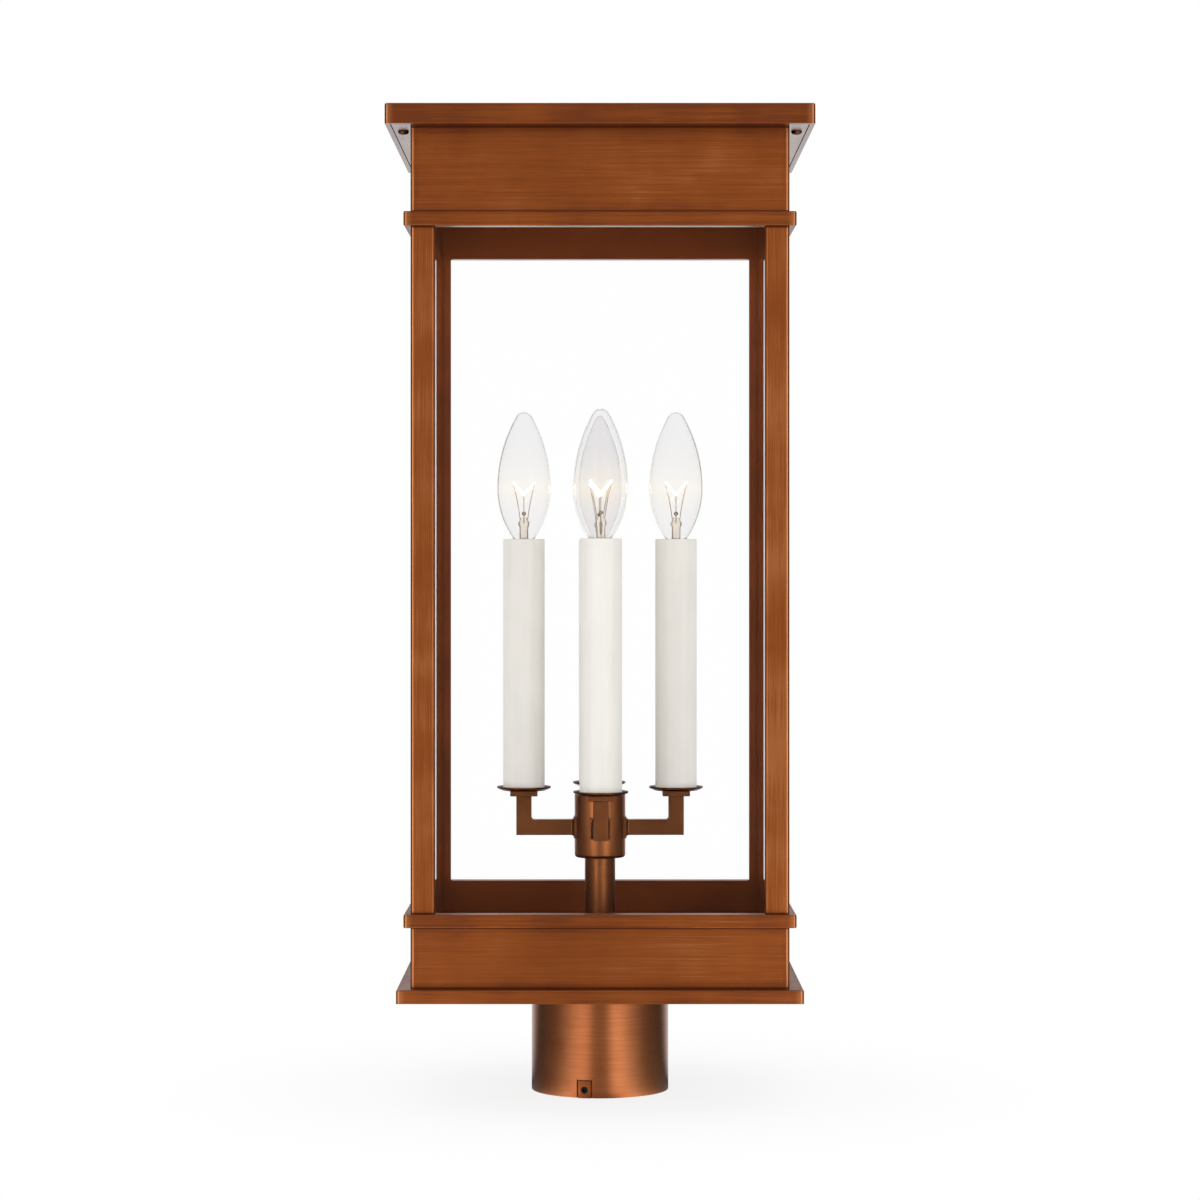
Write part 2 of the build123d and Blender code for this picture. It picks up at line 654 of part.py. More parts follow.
for side, turn in candles.items():
    centre = upright(turn, candle_reach)
    axis = Axis(centre.origin, (0, 0, 1))

    # Drip pan: a shallow dish with a rim that turns up
    with BuildPart() as drip_pan:
        with BuildSketch(centre):
            with BuildLine():
                Polyline(
                    (nipple_width / 2 + loose_fit, pan_level),
                    (pan_floor_width / 2, pan_level),
                    (pan_width / 2, pan_level + pan_rim_rise),
                    (pan_width / 2, pan_floor + pan_rim_rise),
                    (pan_floor_width / 2, pan_floor),
                    (nipple_width / 2 + loose_fit, pan_floor),
                    close=True,
                )
            make_face()
        revolve(axis=axis)
    drip_pan.part.label = f"drip_pan_{side}"
    export_step(drip_pan.part, f"parts/drip_pan_{side}.step")

    # Lamp socket: a neck that screws onto the nipple and a cup for the lamp
    socket_foot = pan_floor + pan_nut_height
    cup_floor = socket_top - socket_cup_height
    with BuildPart() as socket:
        with BuildSketch(centre):
            with BuildLine():
                Polyline(
                    (0, socket_foot + nipple_rise - pan_nut_height + loose_fit),
                    (nipple_width / 2 + close_fit, socket_foot + nipple_rise - pan_nut_height + loose_fit),
                    (nipple_width / 2 + close_fit, socket_foot),
                    (socket_neck_width / 2, socket_foot),
                    (socket_neck_width / 2, cup_floor),
                    (socket_width / 2, cup_floor),
                    (socket_width / 2, socket_top),
                    (lamp_thread_width / 2 + loose_fit, socket_top),
                    (lamp_thread_width / 2 + loose_fit, button_bottom - loose_fit),
                    (0, button_bottom - loose_fit),
                    close=True,
                )
            make_face()
        revolve(axis=axis)
    socket.part.label = f"socket_{side}"
    export_step(socket.part, f"parts/socket_{side}.step")

    # Candle sleeve: a smooth tube over the socket
    with BuildPart() as candle_sleeve:
        with BuildSketch(centre):
            with Locations((sleeve_width / 2 - sleeve_wall, pan_floor)):
                Rectangle(sleeve_wall, sleeve_length, align=Align.MIN)
        revolve(axis=axis)
        fillet(candle_sleeve.edges().group_by(Axis.Z)[-1], sleeve_rim_radius)
    candle_sleeve.part.label = f"candle_sleeve_{side}"
    export_step(candle_sleeve.part, f"parts/candle_sleeve_{side}.step")

    # Screw shell of the lamp, with its contact button below and its skirt above
    with BuildPart() as lamp_shell:
        with BuildSketch(centre):
            with BuildLine():
                Polyline(
                    (0, button_bottom),
                    (lamp_button_width / 2, button_bottom),
                    (lamp_button_width / 2, button_bottom + lamp_button_rim),
                    (lamp_thread_width / 2, thread_bottom),
                    (lamp_thread_width / 2, skirt_bottom),
                    (lamp_skirt_width / 2, skirt_bottom),
                    (lamp_skirt_width / 2, glass_bottom),
                    (0, glass_bottom),
                    close=True,
                )
            make_face()
        revolve(axis=axis)
    lamp_shell.part.label = f"lamp_shell_{side}"
    export_step(lamp_shell.part, f"parts/lamp_shell_{side}.step")

    # Glass envelope of the lamp, blown thin
    with BuildPart() as lamp_glass:
        with BuildSketch(centre):
            with BuildLine():
                Line((lamp_neck_width / 2, glass_bottom), (lamp_neck_width / 2, bulb_bottom))
                bulb_outline(bulb_width, bulb_length, lamp_neck_width, bulb_tip_radius)
                Line((0, bulb_bottom + bulb_length), (0, bulb_bottom + bulb_length - bulb_wall))
                bulb_outline(
                    bulb_width - 2 * bulb_wall,
                    bulb_length - bulb_wall,
                    lamp_neck_width - 2 * bulb_wall,
                    bulb_tip_radius - bulb_wall,
                )
                Polyline(
                    (lamp_neck_width / 2 - bulb_wall, bulb_bottom),
                    (lamp_neck_width / 2 - bulb_wall, glass_bottom),
                    (lamp_neck_width / 2, glass_bottom),
                )
            make_face()
        revolve(axis=axis)
    lamp_glass.part.label = f"lamp_glass_{side}"
    export_step(lamp_glass.part, f"parts/lamp_glass_{side}.step")

    # Mount of the lamp: flared glass stem, bead, two leads, a support and the filament
    mount_top = glass_bottom + mount_stem_length
    flare_height = mount_stem_width / 2
    lead_foot = mount_stem_width / 2 - lead_width
    across = outward(filament_turn)
    middle = centre.origin
    filament_low = middle + Vector(0, 0, glass_bottom + lead_level - filament_sag)
    ring_level = glass_bottom + mount_ring_level
    with BuildPart() as lamp_mount:
        with BuildSketch(centre):
            with BuildLine():
                Polyline(
                    (0, glass_bottom),
                    (mount_flare_width / 2, glass_bottom),
                    (mount_stem_width / 2, glass_bottom + flare_height),
                    (mount_stem_width / 2, ring_level - mount_ring_height / 2),
                    (mount_ring_width / 2, ring_level),
                    (mount_stem_width / 2, ring_level + mount_ring_height / 2),
                    (mount_stem_width / 2, mount_top),
                    (0, mount_top),
                    close=True,
                )
            make_face()
        revolve(axis=axis)
        with Locations(middle + Vector(0, 0, glass_bottom + mount_bead_level)):
            Sphere(mount_bead_width / 2)
        wire(middle + Vector(0, 0, mount_top - lead_width), filament_low, lead_width)
        for way in (-1, 1):
            foot = middle + across * (way * lead_foot) + Vector(0, 0, mount_top - lead_width)
            tip = middle + across * (way * lead_spread) + Vector(0, 0, glass_bottom + lead_level)
            wire(foot, tip, lead_width)
            wire(tip, filament_low, filament_width)
    lamp_mount.part.label = f"lamp_mount_{side}"
    export_step(lamp_mount.part, f"parts/lamp_mount_{side}.step")
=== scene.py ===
"""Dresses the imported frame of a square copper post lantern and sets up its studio."""

import math

import bmesh
import bpy
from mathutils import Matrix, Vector


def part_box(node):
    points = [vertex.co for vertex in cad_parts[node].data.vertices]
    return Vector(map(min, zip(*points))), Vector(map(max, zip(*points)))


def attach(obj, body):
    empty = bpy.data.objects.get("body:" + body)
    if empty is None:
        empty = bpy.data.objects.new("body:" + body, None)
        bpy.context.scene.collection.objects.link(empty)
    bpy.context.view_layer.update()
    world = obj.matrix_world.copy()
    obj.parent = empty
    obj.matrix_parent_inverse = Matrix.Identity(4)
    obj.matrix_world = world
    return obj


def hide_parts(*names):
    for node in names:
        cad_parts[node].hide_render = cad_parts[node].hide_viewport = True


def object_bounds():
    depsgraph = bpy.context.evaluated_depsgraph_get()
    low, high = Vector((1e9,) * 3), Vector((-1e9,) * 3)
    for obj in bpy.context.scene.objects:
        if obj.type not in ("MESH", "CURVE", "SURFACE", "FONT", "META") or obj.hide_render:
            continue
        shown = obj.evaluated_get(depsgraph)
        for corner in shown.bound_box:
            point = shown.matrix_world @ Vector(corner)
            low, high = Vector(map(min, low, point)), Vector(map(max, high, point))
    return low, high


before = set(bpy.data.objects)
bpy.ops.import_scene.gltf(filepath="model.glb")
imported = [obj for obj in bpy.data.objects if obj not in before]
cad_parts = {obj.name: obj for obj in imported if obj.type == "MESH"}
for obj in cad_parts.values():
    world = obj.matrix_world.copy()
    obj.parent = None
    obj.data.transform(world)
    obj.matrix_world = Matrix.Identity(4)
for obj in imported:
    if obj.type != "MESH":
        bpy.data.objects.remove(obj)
cad_low, cad_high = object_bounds()

bl_info = {
    "name": "Copper Post Lantern",
    "version": (1, 0, 0),
    "blender": (4, 5, 0),
    "location": "View3D > Sidebar > Lantern",
    "description": "Dresses a square copper post lantern and sets up its studio",
    "category": "Object",
}

SIDES = ("front", "right", "rear", "left")
CORNERS = ("front_left", "front_right", "rear_right", "rear_left")
IMAGE_PIXELS = 1200
SENSOR_WIDTH = 36.0
MM = 0.001

# Copper: its mean tone, from 0 tarnished to 1 plain, and how far grain, tarnish and wear move it, where the
# worn edges also stand as painted highlights
PLAIN_TONE = 0.72
GRAIN_SHARES = {"Lines": 1.7, "Streaks": 0.55, "Patches": 1.7}
TARNISH_SHARE = 0.3
BRIGHT_TONES, BRIGHT_SHARE = (0.85, 1.6), 0.35
WEAR_GLINT_SHARE = 0.2
# How dark the seam lines are painted: painted shade of the gaps between pieces
LINE_SHARE, LINE_SHADE = 0.85, 0.5
# INNER_SHADE darkens random patches; INNER_LIGHT is painted light, the inner faces made lighter towards the
# top
INNER_SHADE, INNER_LIGHT = 0.8, 1.4
INNER_ROUGHNESS = 0.6
LEVEL_FACE = 0.75

# Edges of a copper piece, in metres from the edge inwards: a dark rim, a rubbed line that is also a painted
# highlight, and its soft fringe; the dark end line is painted shade and the level line a painted highlight
RIM_EDGE, RIM_DARKNESS = (0.0007, 0.0012), 0.4
END_EDGE = (0.0006, 0.0011)
RUB_START, RUB_END = (0.0008, 0.0013), (0.0015, 0.0023)
FRINGE_START, FRINGE_SHARE = 0.0012, 0.35
LEVEL_GLINT, LEVEL_GLINT_SHARE = (0.0002, 0.0009), 0.12
EDGE_WANDER = 0.0008

# What polished metal sees, by the share of a level direction that points aside or to the rear
LOBE_RISE, LOBE_FALL, LOBE_REAR = (0.12, 0.40), (0.48, 1.12), (-0.1, 0.4)
FRONT_RANGE, FRONT_LEVEL, SIDE_LEVEL = (-0.97, -0.6), 0.56, 0.12
REAR_RANGE, REAR_LEVEL = (0.45, 0.95), 0.86
SKY_DIP, SKY_SHARE = (0.03, 0.12), 0.75
TOP_RANGE, TOP_LEVEL = (0.45, 0.9), 0.8

# Floor: the share of plain white over the shadow near the foot, and where the shadow ends
SHADOW_RANGE, SHADOW_WHITE = (0.05, 0.35), 0.85
FLOOR_COLOUR = (0.8, 0.8, 0.8, 1.0)
SOFTBOX_RISE = 0.1

# Refractive indices of the glass, low because it mirrors very little
PANE_INDEX, BULB_INDEX, STEM_INDEX = 1.12, 1.10, 1.35

# Filament: its reach to each side of the lamp's axis and how far its middle hangs below its ends
FILAMENT_SPREAD, FILAMENT_SAG = 7.0 * MM, 8.0 * MM

# Fineness of the wound wire and the rolled thread
POINTS_PER_TURN, WIRE_SIDES = 10.0, 6
THREAD_POINTS_AROUND, THREAD_POINTS_ALONG = 73, 61
MERGE_DISTANCE = 0.01 * MM


class LanternFinish(bpy.types.PropertyGroup):
    """Colours and grain of the metal, the candles and the glass."""

    # Tarnished copper, also the colour of the painted shade in the seam lines
    copper_dark: bpy.props.FloatVectorProperty(
        name="Copper, tarnished",
        description="Colour of the copper where tarnish stays in the grain and along the seams, and of the painted shade in the seam lines",
        subtype="COLOR", default=(0.150, 0.0365, 0.0095), min=0.0, max=1.0)
    copper_mid: bpy.props.FloatVectorProperty(
        name="Copper", description="Colour of the brushed copper",
        subtype="COLOR", default=(0.262, 0.0655, 0.0118), min=0.0, max=1.0)
    # Worn copper, also used as painted highlight along the edges
    copper_light: bpy.props.FloatVectorProperty(
        name="Copper, worn and glinting", description="Colour of the copper where an edge is rubbed bright and carries a painted highlight",
        subtype="COLOR", default=(0.62, 0.235, 0.085), min=0.0, max=1.0)
    copper_inner: bpy.props.FloatVectorProperty(
        name="Copper, inside", description="Colour of the plainer, darker copper on the inner faces",
        subtype="COLOR", default=(0.210, 0.0515, 0.0135), min=0.0, max=1.0)
    bronze_dark: bpy.props.FloatVectorProperty(
        name="Dark copper, tarnished", description="Deepest colour of the candle cluster",
        subtype="COLOR", default=(0.085, 0.029, 0.0105), min=0.0, max=1.0)
    bronze_mid: bpy.props.FloatVectorProperty(
        name="Dark copper", description="Colour of the candle cluster",
        subtype="COLOR", default=(0.245, 0.081, 0.0265), min=0.0, max=1.0)
    # Worn dark copper, also a painted highlight on the collars' edges
    bronze_light: bpy.props.FloatVectorProperty(
        name="Dark copper, worn and glinting", description="Colour of the candle cluster along its rubbed edges, also a painted highlight there",
        subtype="COLOR", default=(0.42, 0.185, 0.085), min=0.0, max=1.0)
    candle_colour: bpy.props.FloatVectorProperty(
        name="Candle sleeve", description="Colour of the satin candle sleeves",
        subtype="COLOR", default=(0.85, 0.82, 0.765), min=0.0, max=1.0)
    pane_tint: bpy.props.FloatVectorProperty(
        name="Pane tint", description="Colour that the window glass gives to what is behind it",
        subtype="COLOR", default=(0.998, 1.0, 0.999), min=0.0, max=1.0)
    bulb_tint: bpy.props.FloatVectorProperty(
        name="Bulb tint",
        description="Colour that the blown glass of the lamps gives to what is behind it",
        subtype="COLOR", default=(0.945, 0.938, 0.940), min=0.0, max=1.0)
    grain_width: bpy.props.FloatProperty(
        name="Grain width", description="Width of one brush line",
        unit="LENGTH", default=0.0005, min=0.0001, max=0.01)
    grain_length: bpy.props.FloatProperty(
        name="Grain length", description="Length of one brush line",
        unit="LENGTH", default=0.045, min=0.005, max=1.0)
    grain_depth: bpy.props.FloatProperty(
        name="Grain depth", description="Depth of one brush line",
        unit="LENGTH", default=0.00004, min=0.0, max=0.001)


class LanternLamps(bpy.types.PropertyGroup):
    """Sizes of what is inside the candle lamps, and of the roof screws."""

    stem_radius: bpy.props.FloatProperty(
        name="Glass stem radius", description="Radius of the glass stem that holds the leads",
        unit="LENGTH", default=0.0028, min=0.001, max=0.005)
    ring_radius: bpy.props.FloatProperty(
        name="Press radius", description="Radius of the bulge where the stem is pressed around the leads",
        unit="LENGTH", default=0.0036, min=0.001, max=0.005)
    filament_turn: bpy.props.FloatProperty(
        name="Filament turn", description="Of all filaments, from the width of the lantern",
        subtype="ANGLE", default=math.radians(12.0))
    lead_radius: bpy.props.FloatProperty(
        name="Lead radius", description="Radius of the lead wires",
        unit="LENGTH", default=0.00024, min=0.0001, max=0.001)
    coil_radius: bpy.props.FloatProperty(
        name="Coil radius", description="Radius of the coiled filament",
        unit="LENGTH", default=0.00042, min=0.0001, max=0.002)
    coil_wire: bpy.props.FloatProperty(
        name="Coil wire radius", description="Radius of the wire that the filament is coiled from",
        unit="LENGTH", default=0.00013, min=0.00002, max=0.0005)
    coil_turns: bpy.props.IntProperty(
        name="Coil turns", description="Turns of the filament's coil", default=44, min=4, max=200)
    glow_colour: bpy.props.FloatVectorProperty(
        name="Glow", description="Colour of the lit filament",
        subtype="COLOR", default=(1.0, 0.80, 0.50), min=0.0, max=1.0)
    glow_strength: bpy.props.FloatProperty(
        name="Glow strength", description="Brightness of the lit filament", default=14.0, min=0.0, max=200.0)
    # glow_share and glow_reach set a painted glow that the bulb glass itself gives off around the filament
    glow_share: bpy.props.FloatProperty(
        name="Painted glow on the glass", description="Brightness of the painted glow that the glass gives off around the filament",
        default=0.010, min=0.0, max=1.0)
    glow_reach: bpy.props.FloatProperty(
        name="Glow reach", description="How far above and below the filament the glass is lit",
        unit="LENGTH", default=0.030, min=0.001, max=0.1)
    thread_pitch: bpy.props.FloatProperty(
        name="Thread pitch", description="Rise of the lamp's rolled thread in one turn",
        unit="LENGTH", default=0.00254, min=0.001, max=0.01)
    thread_depth: bpy.props.FloatProperty(
        name="Thread depth", description="Depth of the lamp's rolled thread",
        unit="LENGTH", default=0.00055, min=0.0001, max=0.002)
    screw_head: bpy.props.FloatProperty(
        name="Roof screw head", description="Width of a roof screw's head",
        unit="LENGTH", default=0.0066, min=0.002, max=0.02)
    screw_shank: bpy.props.FloatProperty(
        name="Roof screw shank", description="Width of a roof screw's shank",
        unit="LENGTH", default=0.0039, min=0.001, max=0.02)


class LanternStudio(bpy.types.PropertyGroup):
    """Camera, lights and floor."""

    camera_distance: bpy.props.FloatProperty(
        name="Camera distance", description="From the lantern's axis to the camera",
        unit="LENGTH", default=2.143, min=0.5, max=10.0)
    camera_height: bpy.props.FloatProperty(
        name="Camera height", description="Of the level camera above the foot of the lantern",
        unit="LENGTH", default=0.326, min=0.0, max=3.0)
    focal_pixels: bpy.props.FloatProperty(
        name="Focal length", description="Of the lens, in pixels of the square image",
        default=3422.0, min=500.0, max=20000.0)
    horizon_rise: bpy.props.FloatProperty(
        name="Horizon rise", description="Height of the horizon above the middle of the image, in pixels",
        default=32.5, min=-600.0, max=600.0)
    left_turn: bpy.props.FloatProperty(
        name="Left softbox turn", description="Of the left softbox to the side, from the camera's line",
        subtype="ANGLE", default=math.radians(34.0))
    right_turn: bpy.props.FloatProperty(
        name="Right softbox turn", description="Of the right softbox to the side, from the camera's line",
        subtype="ANGLE", default=math.radians(29.0))
    box_distance: bpy.props.FloatProperty(
        name="Softbox distance", description="From the lantern's axis to each softbox",
        unit="LENGTH", default=1.9, min=0.5, max=10.0)
    box_width: bpy.props.FloatProperty(
        name="Softbox width", description="Of each softbox", unit="LENGTH", default=0.7, min=0.05, max=5.0)
    box_height: bpy.props.FloatProperty(
        name="Softbox height", description="Of each softbox", unit="LENGTH", default=1.7, min=0.05, max=5.0)
    box_power: bpy.props.FloatProperty(
        name="Softbox power", description="Of each softbox", unit="POWER", default=4.0, min=0.0, max=1000.0)
    ambient: bpy.props.FloatProperty(
        name="Ambient level", description="Even light from all around", default=1.12, min=0.0, max=5.0)
    lobe_strength: bpy.props.FloatProperty(
        name="Lobe strength", description="Brightness of the softboxes as polished metal sees them",
        default=1.5, min=0.0, max=20.0)
    floor_size: bpy.props.FloatProperty(
        name="Floor size", description="Width of the floor", unit="LENGTH", default=12.0, min=1.0, max=100.0)


def link_or_set(tree, socket, value):
    """Joins a socket to another one, or gives it a plain value."""
    if isinstance(value, bpy.types.NodeSocket):
        tree.links.new(value, socket)
    else:
        socket.default_value = value


def fill(tree, node, **inputs):
    """Joins or sets inputs of a node; an underscore in a label stands for a space."""
    for label, value in inputs.items():
        link_or_set(tree, node.inputs[label.replace("_", " ")], value)


def add_node(tree, kind, **inputs):
    """A new node with its inputs joined or set."""
    node = tree.nodes.new(kind)
    fill(tree, node, **inputs)
    return node


def math_step(tree, operation, *values):
    """One Math node of a shader or geometry tree."""
    node = tree.nodes.new("ShaderNodeMath")
    node.operation = operation
    for socket, value in zip(node.inputs, values):
        link_or_set(tree, socket, value)
    return node.outputs["Value"]


def plus(tree, first, second):
    """The sum of two values."""
    return math_step(tree, "ADD", first, second)


def minus(tree, first, second):
    """The difference of two values."""
    return math_step(tree, "SUBTRACT", first, second)


def times(tree, first, second):
    """The product of two values."""
    return math_step(tree, "MULTIPLY", first, second)


def larger(tree, first, second):
    """The larger of two values."""
    return math_step(tree, "MAXIMUM", first, second)


def smaller(tree, first, second):
    """The smaller of two values."""
    return math_step(tree, "MINIMUM", first, second)


def vector_step(tree, operation, *values):
    """One Vector Math node."""
    node = tree.nodes.new("ShaderNodeVectorMath")
    node.operation = operation
    for socket, value in zip(node.inputs, values):
        link_or_set(tree, socket, value)
    return node.outputs["Vector"]


def mix_step(tree, kind, factor, first, second):
    """One Mix node; kind is Float, Vector or Color."""
    node = tree.nodes.new("ShaderNodeMix")
    node.data_type = {"Float": "FLOAT", "Vector": "VECTOR", "Color": "RGBA"}[kind]
    sockets = {socket.identifier: socket for socket in node.inputs}
    link_or_set(tree, sockets["Factor_Float"], factor)
    link_or_set(tree, sockets["A_" + kind], first)
    link_or_set(tree, sockets["B_" + kind], second)
    return next(socket for socket in node.outputs if socket.identifier == "Result_" + kind)


def range_step(tree, value, low, high, to_low=0.0, to_high=1.0):
    """One smooth Map Range node."""
    node = add_node(
        tree, "ShaderNodeMapRange", Value=value, From_Min=low, From_Max=high, To_Min=to_low, To_Max=to_high)
    node.interpolation_type = "SMOOTHSTEP"
    return node.outputs["Result"]


def noise_step(tree, vector, scale, detail=2.0, roughness=0.55):
    """One Noise Texture node."""
    node = add_node(
        tree, "ShaderNodeTexNoise", Vector=vector, Scale=scale, Detail=detail, Roughness=roughness)
    return node.outputs[0]


def split_step(tree, vector):
    """The three parts of a vector."""
    parts = add_node(tree, "ShaderNodeSeparateXYZ", Vector=vector).outputs
    return parts["X"], parts["Y"], parts["Z"]


def level_length(tree, x, y):
    """The length of the level part of a vector."""
    return math_step(tree, "SQRT", plus(tree, times(tree, x, x), times(tree, y, y)))


def node_tree(name, kind, inputs, outputs):
    """A node tree with named sockets, its input sockets by name and its output node."""
    tree = bpy.data.node_groups.new(name, kind)
    for way, sockets in (("INPUT", inputs), ("OUTPUT", outputs)):
        for label, value_type in sockets.items():
            tree.interface.new_socket(label, in_out=way, socket_type=f"NodeSocket{value_type}")
    return tree, tree.nodes.new("NodeGroupInput").outputs, tree.nodes.new("NodeGroupOutput")


def built_once(name):
    """Makes a builder hand out the node tree of that name, built at its first call."""
    def wrap(build):
        return lambda: bpy.data.node_groups.get(name) or build(name)
    return wrap


@built_once("Brushed Grain")
def brushed_grain_group(name):
    """Brush lines, broad streaks and slow patches, with a stretch of their own on level faces.

    Under Faces is the mask of the level faces that look down.
    """
    tree, given, result = node_tree(
        name, "ShaderNodeTree", {"Vector": "Vector", "Side Stretch": "Vector", "Top Stretch": "Vector"},
        {"Lines": "Float", "Streaks": "Float", "Patches": "Float", "Under Faces": "Float"})
    normal = tree.nodes.new("ShaderNodeTexCoord").outputs["Normal"]
    rise = split_step(tree, normal)[2]
    level = math_step(tree, "GREATER_THAN", math_step(tree, "ABSOLUTE", rise), LEVEL_FACE)
    stretch = mix_step(tree, "Vector", level, given["Side Stretch"], given["Top Stretch"])
    stretched = vector_step(tree, "MULTIPLY", given["Vector"], stretch)
    fill(
        tree, result, Lines=noise_step(tree, stretched, 1.0, 3.0, 0.7),
        Streaks=noise_step(tree, stretched, 0.35, 2.0, 0.6),
        Patches=noise_step(tree, given["Vector"], 20.0, 3.0, 0.5),
        Under_Faces=math_step(tree, "LESS_THAN", rise, -LEVEL_FACE))
    return tree


@built_once("Worn Edges")
def rounded_edges_group(name):
    """Mask of the rounded edges of a square piece, broken up along their length, used for worn edges that
    double as painted highlights and for painted shade on the arms' edges.
    """
    tree, given, result = node_tree(name, "ShaderNodeTree", {"Vector": "Vector"}, {"Mask": "Float"})
    normal = tree.nodes.new("ShaderNodeTexCoord").outputs["Normal"]
    x, y, z = (math_step(tree, "ABSOLUTE", part) for part in split_step(tree, normal))
    rounding = minus(tree, 1.0, larger(tree, larger(tree, x, y), z))
    edge = range_step(tree, rounding, 0.01, 0.16)
    breaks = range_step(tree, noise_step(tree, given["Vector"], 70.0, 3.0), 0.25, 0.6, 0.35, 1.0)
    fill(tree, result, Mask=times(tree, edge, breaks))
    return tree


@built_once("Inner Faces")
def inner_faces_group(name):
    """Mask of the faces that look towards the axis of the lantern."""
    tree, given, result = node_tree(name, "ShaderNodeTree", {"Vector": "Vector"}, {"Mask": "Float"})
    normal = tree.nodes.new("ShaderNodeTexCoord").outputs["Normal"]
    x, y, _ = split_step(tree, vector_step(tree, "MULTIPLY", normal, given["Vector"]))
    fill(tree, result, Mask=math_step(tree, "LESS_THAN", plus(tree, x, y), -0.01))
    return tree


@built_once("Panel Seams")
def panel_seams_group(name):
    """Masks along the edges of a box-shaped piece: tarnish, rubbed edges that are also painted highlights,
    and dark lines, which at the closed ends are painted shade in the gap to the next piece.
    """
    tree, given, result = node_tree(
        name, "ShaderNodeTree",
        {"Vector": "Vector", "Centre": "Vector", "Half Size": "Vector", "Reach": "Float",
         "Rub Reach": "Float", "Closed Ends": "Float"},
        {"Tarnish": "Float", "Rub": "Float", "Line": "Float"})
    offset = vector_step(tree, "ABSOLUTE", vector_step(tree, "SUBTRACT", given["Vector"], given["Centre"]))
    x, y, z = split_step(tree, vector_step(tree, "SUBTRACT", given["Half Size"], offset))
    nearer, corner = smaller(tree, x, y), larger(tree, x, y)
    seam = larger(tree, nearer, smaller(tree, corner, z))
    open_end = plus(tree, z, given["Closed Ends"])
    free = larger(tree, nearer, smaller(tree, corner, open_end))
    wander = minus(tree, noise_step(tree, given["Vector"], 55.0, 3.0), 0.5)
    wide = plus(tree, seam, times(tree, wander, given["Reach"]))
    shift = times(tree, wander, EDGE_WANDER)
    # Painted highlight: a thin bright line along the free edges
    level_glint = range_step(tree, plus(tree, free, shift), *LEVEL_GLINT, LEVEL_GLINT_SHARE, 0.0)
    bright = range_step(tree, plus(tree, corner, shift), *RUB_END, 1.0, 0.0)
    fringe = range_step(tree, corner, FRINGE_START, given["Rub Reach"], FRINGE_SHARE, 0.0)
    # Bright corner line and fringe: part wear, part painted highlight
    corner_wear_glint = times(tree, larger(tree, bright, fringe), range_step(tree, corner, *RUB_START))
    # Painted shade: a dark line at the closed ends, where the piece meets the next one
    end_line = range_step(tree, z, *END_EDGE, given["Closed Ends"], 0.0)
    rim_line = range_step(tree, corner, *RIM_EDGE, RIM_DARKNESS, 0.0)
    fill(
        tree, result, Tarnish=range_step(tree, wide, 0.0, given["Reach"], 1.0, 0.0),
        Rub=larger(tree, level_glint, corner_wear_glint), Line=larger(tree, end_line, rim_line))
    return tree


def blank_material(name):
    """A new material with its tree and its Principled BSDF."""
    material = bpy.data.materials.new(name)
    material.use_nodes = True
    tree = material.node_tree
    return material, tree, tree.nodes["Principled BSDF"]


def placed_group(tree, group, **inputs):
    """The outputs of a shader node group, placed in a material with its own values."""
    node = tree.nodes.new("ShaderNodeGroup")
    node.node_tree = group
    fill(tree, node, **inputs)
    return node.outputs


def object_place(tree):
    """Object coordinates."""
    return tree.nodes.new("ShaderNodeTexCoord").outputs["Object"]


def add_bump(tree, shader, height, depth, strength):
    """Small relief on a material."""
    bump = add_node(tree, "ShaderNodeBump", Strength=strength, Distance=depth, Height=height)
    fill(tree, shader, Normal=bump.outputs["Normal"])


def mixed_shader(tree, share, first, second):
    """A Mix Shader node's output."""
    node = add_node(tree, "ShaderNodeMixShader", Fac=share)
    tree.links.new(first, node.inputs[1])
    tree.links.new(second, node.inputs[2])
    return node.outputs["Shader"]


def opaque(colour, level=1.0):
    """A colour at a level, with full alpha."""
    return (*(level * tone for tone in colour), 1.0)


